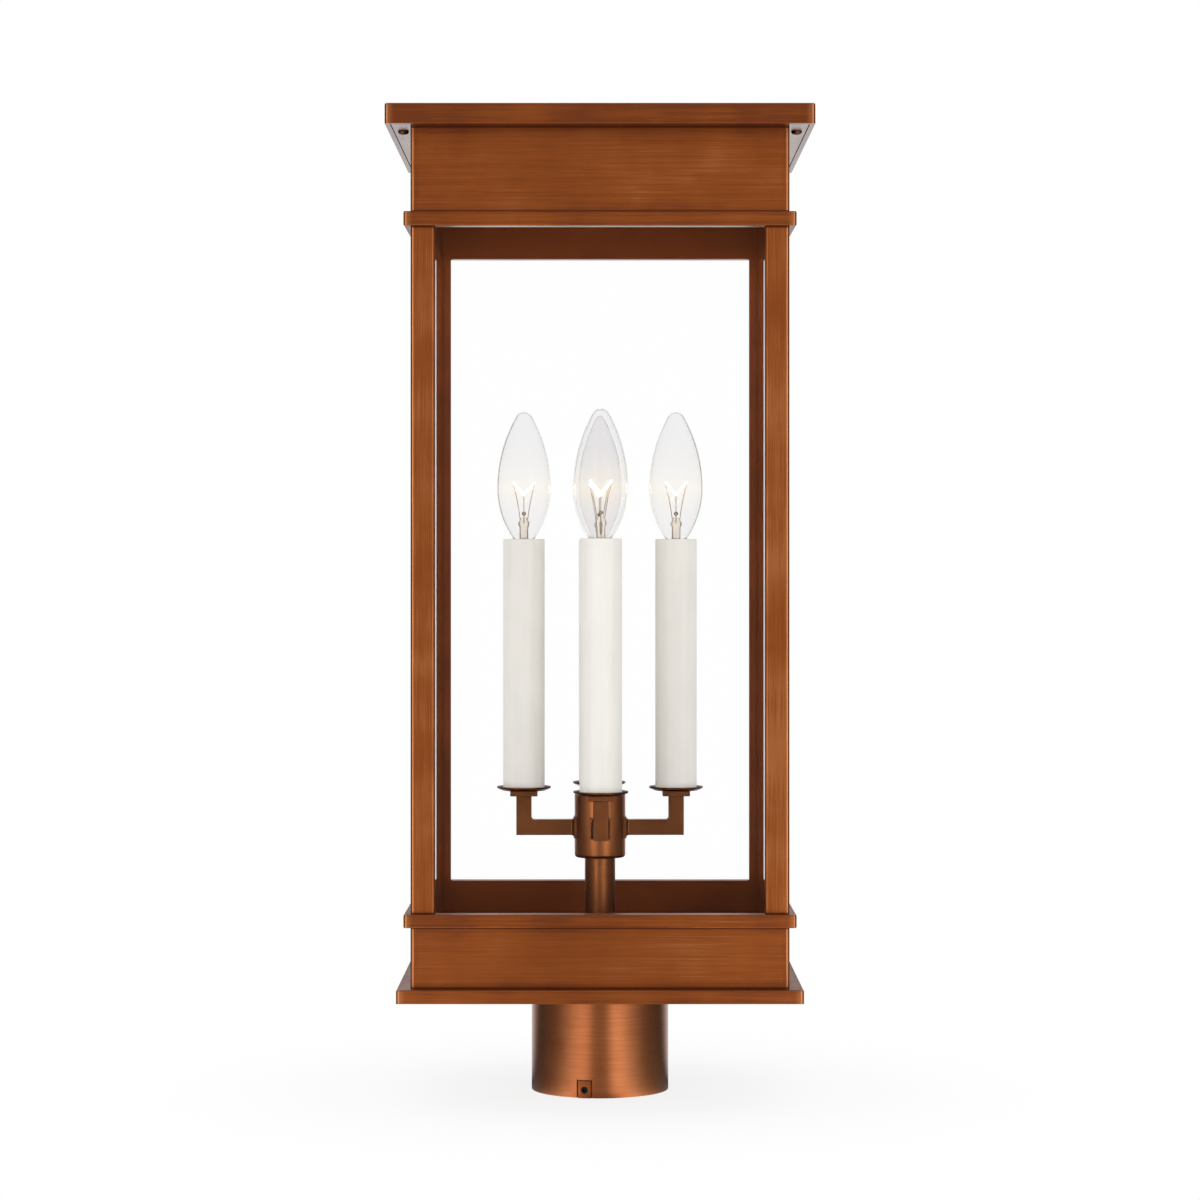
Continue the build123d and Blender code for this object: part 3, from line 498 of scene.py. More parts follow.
def copper_material(
    finish, name, node, upright=False, seams=0.006, contrast=1.0, lift=0.0, closed=False, polish=0.0,
    fineness=1.0, rub=0.9, rub_reach=0.0024, box=None, lacquer=0.15, under=0.7,
):
    """Brushed copper, tarnished along its seams, rubbed bright on its edges, where the brightness is also
    painted highlight, with dark seam lines of painted shade, and plain on its inner faces, which are painted
    lighter towards the top.
    """
    material, tree, shader = blank_material(name)
    place = object_place(tree)
    dark, mid, light = map(opaque, (finish.copper_dark, finish.copper_mid, finish.copper_light))
    along, across = fineness / finish.grain_length, fineness / finish.grain_width
    side = (across, across, along) if upright else (along, along, across)
    grain = placed_group(
        tree, brushed_grain_group(), Vector=place, Side_Stretch=side, Top_Stretch=(along, across, along))
    low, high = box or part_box(node)
    seam = placed_group(
        tree, panel_seams_group(), Vector=place, Centre=(low + high) / 2, Half_Size=(high - low) / 2,
        Reach=seams, Rub_Reach=rub_reach, Closed_Ends=float(closed))
    worn = times(tree, placed_group(tree, rounded_edges_group(), Vector=place)["Mask"], WEAR_GLINT_SHARE)
    inner = placed_group(tree, inner_faces_group(), Vector=place)["Mask"]
    tone = PLAIN_TONE + lift
    for mask, share in GRAIN_SHARES.items():
        tone = plus(tree, times(tree, minus(tree, grain[mask], 0.5), share * contrast), tone)
    tone = minus(tree, tone, times(tree, seam["Tarnish"], TARNISH_SHARE))
    colour = mix_step(tree, "Color", range_step(tree, tone, 0.0, 1.0), dark, mid)
    colour = mix_step(tree, "Color", range_step(tree, tone, *BRIGHT_TONES, 0.0, BRIGHT_SHARE), colour, light)
    # Rounded and rubbed edges turn to worn copper: part wear, part painted highlight
    rubbed = times(tree, larger(tree, worn, seam["Rub"]), rub)
    colour = mix_step(tree, "Color", rubbed, colour, light)
    # Dark lines along the edges; at the closed ends they are painted shade of the gaps between pieces
    line = times(tree, seam["Line"], LINE_SHARE)
    colour = mix_step(tree, "Color", line, colour, opaque(finish.copper_dark, LINE_SHADE))
    plain = inner_copper(tree, finish, place, grain["Patches"], low.z, high.z)
    gloss = range_step(tree, tone, 0.0, 1.4, 0.50 - polish, 0.36 - polish)
    coat = mix_step(tree, "Float", grain["Under Faces"], lacquer, under)
    fill(
        tree, shader, Base_Color=mix_step(tree, "Color", inner, colour, plain), Metallic=1.0,
        Roughness=mix_step(tree, "Float", inner, gloss, INNER_ROUGHNESS),
        Coat_Weight=mix_step(tree, "Float", inner, coat, 0.0), Coat_Roughness=0.2)
    add_bump(tree, shader, grain["Lines"], finish.grain_depth, 0.35)
    return material


def inner_copper(tree, finish, place, patches, foot, top):
    """Colour of the inner faces: plainer, darker copper, made lighter towards the top of the piece as painted
    light.
    """
    deeper, lighter = (opaque(finish.copper_inner, level) for level in (INNER_SHADE, INNER_LIGHT))
    patched = range_step(tree, patches, 0.35, 0.65)
    plain = mix_step(tree, "Color", patched, deeper, opaque(finish.copper_inner))
    height = top - foot
    # Painted light: the inner faces lighten towards the top of the piece
    upper = range_step(tree, split_step(tree, place)[2], foot + 0.7 * height, foot + 0.9 * height)
    return mix_step(tree, "Color", upper, plain, lighter)


def bronze_material(finish, name, level, edge=None, share=0.0):
    """Darkened satin copper of the candle cluster, at its own level, so that the pieces are lighter and
    darker copies of one metal as painted light, with edges lightened as wear and painted highlight, or
    darkened as painted shade.
    """
    material, tree, shader = blank_material(name)
    place = object_place(tree)
    along, across = 1 / (0.12 * finish.grain_length), 1 / finish.grain_width
    grain = placed_group(
        tree, brushed_grain_group(), Vector=place, Side_Stretch=(along, along, across),
        Top_Stretch=(along, across, along))
    tone = plus(tree, times(tree, grain["Lines"], 0.5), times(tree, grain["Patches"], 0.9))
    dark, mid = opaque(finish.bronze_dark, level), opaque(finish.bronze_mid, level)
    colour = mix_step(tree, "Color", range_step(tree, tone, 0.35, 0.95), dark, mid)
    if edge is not None:
        mask = placed_group(tree, rounded_edges_group(), Vector=place)["Mask"]
        colour = mix_step(tree, "Color", times(tree, mask, share), colour, opaque(edge))
    gloss = range_step(tree, tone, 0.3, 1.0, 0.42, 0.32)
    fill(tree, shader, Base_Color=colour, Roughness=gloss, Metallic=1.0)
    add_bump(tree, shader, grain["Lines"], finish.grain_depth, 0.25)
    return material


def steel_material(name, dark, light, roughness):
    """Plain plated or blackened metal with a faint mottle."""
    material, tree, shader = blank_material(name)
    mottle = noise_step(tree, object_place(tree), 420.0, 3.0)
    colour = mix_step(tree, "Color", range_step(tree, mottle, 0.3, 0.7), opaque(dark), opaque(light))
    gloss = range_step(tree, mottle, 0.3, 0.7, roughness, roughness + 0.15)
    fill(tree, shader, Base_Color=colour, Roughness=gloss, Metallic=1.0)
    add_bump(tree, shader, mottle, 0.00003, 0.2)
    return material


def candle_material(finish):
    """Satin off-white sleeve with a faint upright unevenness."""
    material, tree, shader = blank_material("candle_white")
    stretched = vector_step(tree, "MULTIPLY", object_place(tree), (260.0, 260.0, 9.0))
    drawn = noise_step(tree, stretched, 1.0, 2.0)
    cloud = noise_step(tree, object_place(tree), 30.0, 2.0)
    shade = plus(tree, times(tree, drawn, 0.5), times(tree, cloud, 0.5))
    deeper, base = opaque(finish.candle_colour, 0.945), opaque(finish.candle_colour)
    colour = mix_step(tree, "Color", range_step(tree, shade, 0.35, 0.65), deeper, base)
    fill(tree, shader, Base_Color=colour, Roughness=range_step(tree, shade, 0.3, 0.7, 0.36, 0.46))
    add_bump(tree, shader, drawn, 0.00005, 0.15)
    return material


def glass_material(name, tint, index, ripple_scale, ripple_depth, clear_share=1.0, lit=None):
    """Clear or milky glass with a faint ripple that shadow and diffuse rays pass unbent.

    A lit filament is given as its height, the reach of its glow, its colour and the glow's strength; the
    glass then glows and is tinted warm near it, a painted glow that stands in for the filament's glare.
    """
    material, tree, shader = blank_material(name)
    ripple = noise_step(tree, object_place(tree), ripple_scale, 2.0)
    fill(
        tree, shader, Base_Color=opaque(tint), IOR=index, Transmission_Weight=clear_share,
        Roughness=range_step(tree, ripple, 0.3, 0.8, 0.0, 0.015))
    add_bump(tree, shader, ripple, ripple_depth, 0.2)
    # Painted glow: the glass itself glows and turns warm near the filament
    if lit:
        level, reach, colour, strength = lit
        away = math_step(tree, "ABSOLUTE", minus(tree, split_step(tree, object_place(tree))[2], level))
        fading = math_step(tree, "POWER", range_step(tree, away, 0.0, reach), 0.5)
        warm = opaque(0.965 - 0.07 * (1.0 - tone) for tone in colour)
        fill(
            tree, shader, Base_Color=mix_step(tree, "Color", fading, warm, opaque(tint)),
            Emission_Color=mix_step(tree, "Color", fading, opaque(colour), (0.0, 0.0, 0.0, 1.0)),
            Emission_Strength=strength)
    clear = add_node(tree, "ShaderNodeBsdfTransparent", Color=opaque(tint)).outputs["BSDF"]
    path = tree.nodes.new("ShaderNodeLightPath").outputs
    passing = larger(tree, path["Is Shadow Ray"], path["Is Diffuse Ray"])
    surface = mixed_shader(tree, passing, shader.outputs["BSDF"], clear)
    fill(tree, tree.nodes["Material Output"], Surface=surface)
    return material


def moulding_material(name, dark, light):
    """Dark moulded socket body."""
    material, tree, shader = blank_material(name)
    mottle = noise_step(tree, object_place(tree), 600.0, 2.0)
    fill(
        tree, shader, Base_Color=mix_step(tree, "Color", mottle, opaque(dark), opaque(light)),
        Roughness=range_step(tree, mottle, 0.3, 0.7, 0.45, 0.6))
    add_bump(tree, shader, mottle, 0.00004, 0.3)
    return material


def glow_material(lamps):
    """Lit filament with a slightly uneven heat."""
    material, tree, shader = blank_material("lit_filament")
    heat = noise_step(tree, object_place(tree), 900.0, 1.0)
    deeper = opaque(tone * share for tone, share in zip(lamps.glow_colour, (1.0, 0.9, 0.75)))
    colour = mix_step(tree, "Color", heat, deeper, opaque(lamps.glow_colour))
    fill(
        tree, shader, Base_Color=colour, Emission_Color=colour, Emission_Strength=lamps.glow_strength,
        Roughness=0.5)
    return material


def dress(material, *names):
    """Gives a material to CAD nodes."""
    for name in names:
        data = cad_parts[name].data
        data.materials.clear()
        data.materials.append(material)


def dress_sides(material, part):
    """Gives a material to the like CAD nodes of the four sides."""
    dress(material, *(f"{part}_{side}" for side in SIDES))


def dress_copper(finish, node, **looks):
    """Gives a CAD node a brushed copper of its own."""
    dress(copper_material(finish, f"copper_{node}", node, **looks), node)


def new_object(name, mesh, material=None):
    """A mesh object in the scene, at the origin."""
    if material:
        mesh.materials.clear()
        mesh.materials.append(material)
    piece = bpy.data.objects.new(name, mesh)
    bpy.context.scene.collection.objects.link(piece)
    return piece


def turned_mesh(name, profile, centre, steps):
    """A closed turned mesh from (radius, height) points that start and end on the axis."""
    shape = bmesh.new()
    rings = []
    for radius, height in profile:
        middle = Vector((centre.x, centre.y, height))
        if radius == 0:
            rings.append([shape.verts.new(middle)])
            continue
        turns = [2 * math.pi * step / steps for step in range(steps)]
        rings.append([
            shape.verts.new(middle + Vector((radius * math.cos(turn), radius * math.sin(turn), 0)))
            for turn in turns
        ])
    for below, above in zip(rings, rings[1:]):
        for step in range(steps):
            corners = [
                below[step % len(below)], below[(step + 1) % len(below)],
                above[(step + 1) % len(above)], above[step % len(above)],
            ]
            shape.faces.new(list(dict.fromkeys(corners)))
    bmesh.ops.recalc_face_normals(shape, faces=shape.faces)
    mesh = bpy.data.meshes.new(name)
    shape.to_mesh(mesh)
    shape.free()
    mesh.shade_smooth()
    return mesh


def wire_mesh(name, paths, radius):
    """Round wires along smooth paths, as one mesh."""
    curve = bpy.data.curves.new(name, "CURVE")
    curve.dimensions = "3D"
    curve.bevel_depth = radius
    curve.bevel_resolution = 3
    curve.resolution_u = 6
    curve.use_fill_caps = True
    for path in paths:
        spline = curve.splines.new("NURBS")
        spline.points.add(len(path) - 1)
        for point, place in zip(spline.points, path):
            point.co = (*place, 1.0)
        spline.order_u = 3
        spline.use_endpoint_u = True
    holder = bpy.data.objects.new(name, curve)
    bpy.context.scene.collection.objects.link(holder)
    depsgraph = bpy.context.evaluated_depsgraph_get()
    mesh = bpy.data.meshes.new_from_object(holder.evaluated_get(depsgraph))
    bpy.data.objects.remove(holder)
    bpy.data.curves.remove(curve)
    mesh.shade_smooth()
    return mesh


def grown_mesh(name, mesh, tree, **values):
    """The plain mesh that a Geometry Nodes tree makes from a mesh and its named inputs."""
    holder = new_object(name, mesh)
    modifier = holder.modifiers.new(tree.name, "NODES")
    modifier.node_group = tree
    for item in tree.interface.items_tree:
        label = item.name.lower().replace(" ", "_")
        if item.item_type == "SOCKET" and item.in_out == "INPUT" and label in values:
            modifier[item.identifier] = values[label]
    depsgraph = bpy.context.evaluated_depsgraph_get()
    grown = bpy.data.meshes.new_from_object(holder.evaluated_get(depsgraph))
    holder.modifiers.remove(modifier)
    bpy.data.objects.remove(holder)
    if not grown.polygons:
        raise RuntimeError(f"the tree {tree.name} made no faces for {name}")
    grown.name = name
    return grown


def finish_tree(tree, geometry, material, result):
    """Ends a Geometry Nodes tree: smooth, real geometry with its material."""
    smooth = add_node(tree, "GeometryNodeSetShadeSmooth", Geometry=geometry)
    real = add_node(tree, "GeometryNodeRealizeInstances", Geometry=smooth.outputs["Geometry"])
    paint = add_node(tree, "GeometryNodeSetMaterial", Geometry=real.outputs["Geometry"], Material=material)
    fill(tree, result, Geometry=paint.outputs["Geometry"])


def scaled_vector(tree, vector, scale):
    """A vector made longer or shorter."""
    node = tree.nodes.new("ShaderNodeVectorMath")
    node.operation = "SCALE"
    fill(tree, node, Vector=vector, Scale=scale)
    return node.outputs["Vector"]


@built_once("Coiled Wire")
def coiled_wire_tree(name):
    """Geometry Nodes: winds a wire round the path that the mesh's edges follow."""
    tree, given, result = node_tree(
        name, "GeometryNodeTree",
        {"Geometry": "Geometry", "Coil Radius": "Float", "Wire Radius": "Float", "Turns": "Int",
         "Material": "Material"},
        {"Geometry": "Geometry"})
    path = add_node(tree, "GeometryNodeMeshToCurve", Mesh=given["Geometry"])
    points = add_node(
        tree, "GeometryNodeResampleCurve", Curve=path.outputs["Curve"],
        Count=times(tree, given["Turns"], POINTS_PER_TURN))
    share = tree.nodes.new("GeometryNodeSplineParameter").outputs["Factor"]
    turn = times(tree, times(tree, share, given["Turns"]), 2 * math.pi)
    normal = tree.nodes.new("GeometryNodeInputNormal").outputs["Normal"]
    tangent = tree.nodes.new("GeometryNodeInputTangent").outputs["Tangent"]
    side = vector_step(tree, "CROSS_PRODUCT", tangent, normal)
    reach = given["Coil Radius"]
    ahead = scaled_vector(tree, normal, times(tree, math_step(tree, "COSINE", turn), reach))
    aside = scaled_vector(tree, side, times(tree, math_step(tree, "SINE", turn), reach))
    wound = add_node(
        tree, "GeometryNodeSetPosition", Geometry=points.outputs["Curve"],
        Offset=vector_step(tree, "ADD", ahead, aside))
    section = add_node(
        tree, "GeometryNodeCurvePrimitiveCircle", Resolution=WIRE_SIDES, Radius=given["Wire Radius"])
    tube = add_node(
        tree, "GeometryNodeCurveToMesh", Curve=wound.outputs["Geometry"],
        Profile_Curve=section.outputs["Curve"], Fill_Caps=True)
    finish_tree(tree, tube.outputs["Mesh"], given["Material"], result)
    return tree


@built_once("Rolled Thread")
def rolled_thread_tree(name):
    """Geometry Nodes: the rolled thread of a lamp cap, a tube whose wave climbs one pitch a turn."""
    tree, given, result = node_tree(
        name, "GeometryNodeTree",
        {"Geometry": "Geometry", "Centre": "Vector", "Crest Radius": "Float", "Depth": "Float",
         "Pitch": "Float", "Length": "Float", "Material": "Material"},
        {"Geometry": "Geometry"})
    sheet = add_node(
        tree, "GeometryNodeMeshGrid", Vertices_X=THREAD_POINTS_AROUND, Vertices_Y=THREAD_POINTS_ALONG)
    x, y, _ = split_step(tree, tree.nodes.new("GeometryNodeInputPosition").outputs["Position"])
    round_share = plus(tree, x, 0.5)
    height = times(tree, plus(tree, y, 0.5), given["Length"])
    turn = times(tree, round_share, 2 * math.pi)
    climb = minus(tree, math_step(tree, "DIVIDE", height, given["Pitch"]), round_share)
    wave = math_step(tree, "COSINE", times(tree, climb, 2 * math.pi))
    dip = times(tree, minus(tree, 1.0, wave), 0.5)
    radius = minus(tree, given["Crest Radius"], times(tree, dip, given["Depth"]))
    around = add_node(
        tree, "ShaderNodeCombineXYZ", X=times(tree, math_step(tree, "COSINE", turn), radius),
        Y=times(tree, math_step(tree, "SINE", turn), radius), Z=height)
    rolled = add_node(
        tree, "GeometryNodeSetPosition", Geometry=sheet.outputs["Mesh"],
        Position=vector_step(tree, "ADD", around.outputs["Vector"], given["Centre"]))
    closed = add_node(
        tree, "GeometryNodeMergeByDistance", Geometry=rolled.outputs["Geometry"], Distance=MERGE_DISTANCE)
    finish_tree(tree, closed.outputs["Geometry"], given["Material"], result)
    return tree


@built_once("Placed Screws")
def placed_screws_tree(name):
    """Geometry Nodes: one screw on each point of the mesh."""
    tree, given, result = node_tree(
        name, "GeometryNodeTree", {"Geometry": "Geometry", "Screw": "Object", "Material": "Material"},
        {"Geometry": "Geometry"})
    shape = add_node(tree, "GeometryNodeObjectInfo", Object=given["Screw"])
    spread = add_node(
        tree, "GeometryNodeInstanceOnPoints", Points=given["Geometry"], Instance=shape.outputs["Geometry"])
    finish_tree(tree, spread.outputs["Instances"], given["Material"], result)
    return tree


def ridden(name, mesh, body, material=None, replaced=None):
    """A finished piece that rides on a body, in place of a CAD node where one is named."""
    piece = new_object(name, mesh, material)
    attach(piece, body)
    if replaced:
        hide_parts(replaced)


def turned_piece(name, profile, centre, steps, body, material, replaced=None):
    """A turned piece that rides on a body."""
    ridden(name, turned_mesh(name, profile, centre, steps), body, material, replaced)


class LANTERN_OT_body(bpy.types.Operator):
    """Finish the roof, frieze, bands, posts, plinth and base pan in brushed copper"""

    bl_idname = "lantern.body"
    bl_label = "Copper body"

    def execute(self, context):
        finish = context.scene.lantern_finish
        for node, lift, contrast in (("frieze", 0.0, 1.2), ("plinth", 0.1, 1.0), ("window_case", 0.0, 1.0)):
            dress_copper(finish, node, lift=lift, contrast=contrast, closed=True)
        for node, lift, contrast, under in (
            ("roof_cap", -0.42, 1.2, 0.7), ("upper_band", 0.0, 1.3, 0.3), ("lower_band", 0.0, 1.3, 0.3),
            ("base_pan", 0.05, 1.2, 0.7),
        ):
            dress_copper(
                finish, node, seams=0.004, lift=lift, contrast=contrast, rub_reach=0.006, under=under)
        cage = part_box("post_front_left")[0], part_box("post_rear_right")[1]
        for corner in CORNERS:
            dress_copper(
                finish, f"post_{corner}", upright=True, seams=0.003, contrast=1.2, lift=0.35, closed=True,
                rub=0.7, box=cage)
        dress_copper(finish, "soffit_plate", contrast=0.6)
        plated = steel_material("plated_standoffs", (0.10, 0.05, 0.03), (0.2, 0.1, 0.06), 0.4)
        dress(plated, "roof_standoffs")
        return {"FINISHED"}


class LANTERN_OT_fitter(bpy.types.Operator):
    """Finish the post fitter, its threaded blocks, set screws and clamping hardware"""

    bl_idname = "lantern.fitter"
    bl_label = "Post fitter"

    def execute(self, context):
        finish = context.scene.lantern_finish
        # The fitter's copper is lifted lighter than the rest: painted highlight for the bright bands its
        # round face catches
        dress_copper(
            finish, "fitter", contrast=0.55, seams=0.005, lift=0.42, polish=0.09, fineness=1.5, lacquer=0.4)
        blocks = copper_material(finish, "copper_blocks", "set_screw_blocks", contrast=0.6)
        dress(blocks, "set_screw_blocks")
        black = steel_material("black_oxide", (0.006, 0.006, 0.006), (0.014, 0.014, 0.014), 0.35)
        dress(black, "set_screw_1", "set_screw_2", "set_screw_3")
        zinc = steel_material("zinc_plate", (0.50, 0.50, 0.48), (0.68, 0.68, 0.65), 0.25)
        dress(zinc, "stem_nipple", "stem_washer", "stem_nut", "nipples", "pan_nuts")
        return {"FINISHED"}


class LANTERN_OT_cluster(bpy.types.Operator):
    """Finish the stem, hub, arms, collars and drip pans in darkened copper"""

    bl_idname = "lantern.cluster"
    bl_label = "Candle cluster"

    def execute(self, context):
        finish = context.scene.lantern_finish
        # Painted highlight: the hub and stem are a lighter copy of the metal for the broad sheen of their
        # round faces; pans, collars and arms are darker copies
        for node in ("stem", "hub", "hub_cap"):
            dress(bronze_material(finish, f"bronze_{node}", 1.5), node)
        dress_sides(bronze_material(finish, "bronze_pans", 0.6), "drip_pan")
        # Collar edges lightened: part wear, part painted highlight
        dress(bronze_material(finish, "bronze_collars", 0.9, finish.bronze_light, 0.4), "collars")
        # Painted shade: the arms' rounded edges are darkened
        edge_shade = [tone * 0.35 for tone in finish.bronze_dark]
        dress_sides(bronze_material(finish, "bronze_arms", 0.85, edge_shade, 0.9), "arm")
        return {"FINISHED"}


class LANTERN_OT_panes(bpy.types.Operator):
    """Finish the four panes in clear glass"""

    bl_idname = "lantern.panes"
    bl_label = "Panes"

    def execute(self, context):
        tint = context.scene.lantern_finish.pane_tint
        pane = glass_material("pane_glass", tint, PANE_INDEX, ripple_scale=6.0, ripple_depth=0.00004)
        dress_sides(pane, "pane")
        return {"FINISHED"}


class LANTERN_OT_candles(bpy.types.Operator):
    """Finish the candle sleeves and the sockets inside them"""

    bl_idname = "lantern.candles"
    bl_label = "Candles"

    def execute(self, context):
        dress_sides(candle_material(context.scene.lantern_finish), "candle_sleeve")
        black = moulding_material("socket_black", (0.012, 0.012, 0.012), (0.03, 0.03, 0.028))
        dress_sides(black, "socket")
        return {"FINISHED"}


class LANTERN_OT_lamps(bpy.types.Operator):
    """Build the inside of the candle lamps and their threaded caps"""

    bl_idname = "lantern.lamps"
    bl_label = "Lamps"

    def execute(self, context):
        finish, lamps = context.scene.lantern_finish, context.scene.lantern_lamps
        # Painted glow of the bulb glass around the filament's height
        filament_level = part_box("lamp_mount_front")[1].z - FILAMENT_SAG / 2
        lit = filament_level, lamps.glow_reach, lamps.glow_colour, lamps.glow_share
        blown = glass_material(
            "bulb_glass", finish.bulb_tint, BULB_INDEX, ripple_scale=60.0, ripple_depth=0.00006, lit=lit)
        stem_glass = glass_material(
            "stem_glass", (0.97, 0.91, 0.82), STEM_INDEX, ripple_scale=300.0, ripple_depth=0.00008,
            clear_share=0.8)
        wire = steel_material("lead_wire", (0.30, 0.24, 0.18), (0.52, 0.42, 0.32), 0.3)
        glow = glow_material(lamps)
        brass = steel_material("lamp_brass", (0.55, 0.38, 0.16), (0.76, 0.56, 0.28), 0.28)
        black = moulding_material("cap_insulator", (0.008, 0.008, 0.01), (0.02, 0.02, 0.022))
        dress_sides(blown, "lamp_glass")
        for side in SIDES:
            build_mount(lamps, side, stem_glass, wire, glow)
            build_cap(lamps, side, brass, black)
        return {"FINISHED"}


def build_mount(lamps, side, stem_glass, wire, glow):
    """Glass stem, lead wires, bead and coiled filament of one lamp."""
    low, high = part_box(f"lamp_glass_{side}")
    foot = Vector(((low.x + high.x) / 2, (low.y + high.y) / 2, low.z))
    across = Vector((math.cos(lamps.filament_turn), math.sin(lamps.filament_turn), 0))
    body = f"lamp_{side}"
    flare = 4.8 * MM
    stem, ring = lamps.stem_radius, lamps.ring_radius
    heights = {"neck": 3.0, "ring_foot": 11.0, "ring": 13.4, "ring_top": 15.6, "press": 16.8, "end": 17.4}
    z = {name: foot.z + height * MM for name, height in heights.items()}
    profile = [
        (0, foot.z), (flare, foot.z), (stem + 0.4 * (flare - stem), foot.z + 1.0 * MM), (stem, z["neck"]),
        (stem, z["ring_foot"]), (ring, z["ring"] - 1.0 * MM), (ring, z["ring"] + 0.8 * MM),
        (0.82 * stem, z["ring_top"]), (0.9 * stem, z["press"] - 0.4 * MM),
        (0.6 * stem, z["press"] + 0.4 * MM), (0, z["end"]),
    ]
    turned_piece(
        f"lamp_stem_{side}", profile, foot, 32, body, stem_glass, f"lamp_mount_{side}")

    tip_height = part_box(f"lamp_mount_{side}")[1].z - lamps.coil_radius
    low_point = Vector((foot.x, foot.y, tip_height - FILAMENT_SAG))
    paths = [[Vector((foot.x, foot.y, z["ring"])), Vector((foot.x, foot.y, z["end"] + 4 * MM)), low_point]]
    tips = []
    # Bends of a lead: its distance from the axis and its height above the foot, in millimetres
    bends = [(1.9, 4.0), (1.9, 11.0), (2.3, 14.0), (2.5, 17.0), (3.5, 23.5), (4.8, 30.5)]
    for way in (-1, 1):
        tip = Vector((foot.x, foot.y, tip_height)) + across * way * FILAMENT_SPREAD
        places = [
            Vector((foot.x, foot.y, foot.z + height * MM)) + across * way * reach * MM
            for reach, height in bends
        ]
        paths.append([*places, tip])
        tips.append(tip)
    leads = f"lamp_leads_{side}"
    ridden(leads, wire_mesh(leads, paths, lamps.lead_radius), body, wire)

    bead, bead_level, steps = 1.35 * MM, foot.z + 19.6 * MM, 10
    arc = [math.pi * (step / steps - 0.5) for step in range(1, steps)]
    profile = [
        (0, bead_level - bead), *((bead * math.cos(a), bead_level + bead * math.sin(a)) for a in arc),
        (0, bead_level + bead),
    ]
    turned_piece(f"lamp_bead_{side}", profile, foot, 24, body, wire)

    line = bpy.data.meshes.new(f"filament_path_{side}")
    corners = [tips[0], tips[0].lerp(low_point, 0.5), low_point, low_point.lerp(tips[1], 0.5), tips[1]]
    line.from_pydata(corners, [(0, 1), (1, 2), (2, 3), (3, 4)], [])
    filament = f"lamp_filament_{side}"
    coil = grown_mesh(
        filament, line, coiled_wire_tree(), coil_radius=lamps.coil_radius, wire_radius=lamps.coil_wire,
        turns=lamps.coil_turns, material=glow)
    ridden(filament, coil, body)


def build_cap(lamps, side, brass, black):
    """Threaded shell, skirt, insulator and contact button of one lamp."""
    low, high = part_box(f"lamp_shell_{side}")
    foot = Vector(((low.x + high.x) / 2, (low.y + high.y) / 2, low.z))
    body = f"lamp_base_{side}"
    skirt_radius = (high.x - low.x) / 2
    crest = skirt_radius - 0.45 * MM
    thread_foot, skirt_foot = low.z + 3.0 * MM, high.z - 2.0 * MM
    thread = f"lamp_thread_{side}"
    rolled = grown_mesh(
        thread, bpy.data.meshes.new(f"thread_seed_{side}"), rolled_thread_tree(),
        centre=(foot.x, foot.y, thread_foot), crest_radius=crest, depth=lamps.thread_depth,
        pitch=lamps.thread_pitch, length=skirt_foot - thread_foot, material=brass)
    ridden(thread, rolled, body, replaced=f"lamp_shell_{side}")

    inner = crest - lamps.thread_depth - 0.15 * MM
    skirt_profile = [
        (0, skirt_foot), (inner, skirt_foot), (skirt_radius - 0.3 * MM, skirt_foot),
        (skirt_radius, skirt_foot + 0.3 * MM), (skirt_radius, high.z - 0.4 * MM),
        (skirt_radius - 0.4 * MM, high.z), (0, high.z),
    ]
    turned_piece(f"lamp_skirt_{side}", skirt_profile, foot, 48, body, brass)

    button, rim = 2.3 * MM, low.z + 0.9 * MM
    insulator_profile = [
        (0, rim), (button, rim), (button + 0.4 * MM, low.z + 1.2 * MM), (inner, thread_foot),
        (inner, skirt_foot), (0, skirt_foot),
    ]
    turned_piece(f"lamp_insulator_{side}", insulator_profile, foot, 48, body, black)
    contact_profile = [(0, low.z), (0.8 * button, low.z + 0.1 * MM), (button, rim), (0, low.z + 1.0 * MM)]
    turned_piece(f"lamp_contact_{side}", contact_profile, foot, 32, body, brass)


class LANTERN_OT_roof_screws(bpy.types.Operator):
    """Place the pan-head screws in the soffit"""

    bl_idname = "lantern.roof_screws"
    bl_label = "Roof screws"

    def execute(self, context):
        lamps = context.scene.lantern_lamps
        low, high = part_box("roof_screws")
        head = lamps.screw_head / 2
        material = steel_material("roof_fastener", (0.10, 0.042, 0.02), (0.21, 0.10, 0.055), 0.35)
        screw = recessed_screw(low.z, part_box("soffit_plate")[0].z, high.z, head, lamps.screw_shank / 2)
        points = bpy.data.meshes.new("roof_screw_points")
        reach = Vector((high.x - head, high.y - head, 0))
        points.from_pydata(
            [Vector((x * reach.x, y * reach.y, 0)) for x in (-1, 1) for y in (-1, 1)], [], [])
        name = "roof_screws_dressed"
        placed = grown_mesh(name, points, placed_screws_tree(), screw=screw, material=material)
        bpy.data.objects.remove(screw)
        ridden(name, placed, "body", replaced="roof_screws")
        return {"FINISHED"}


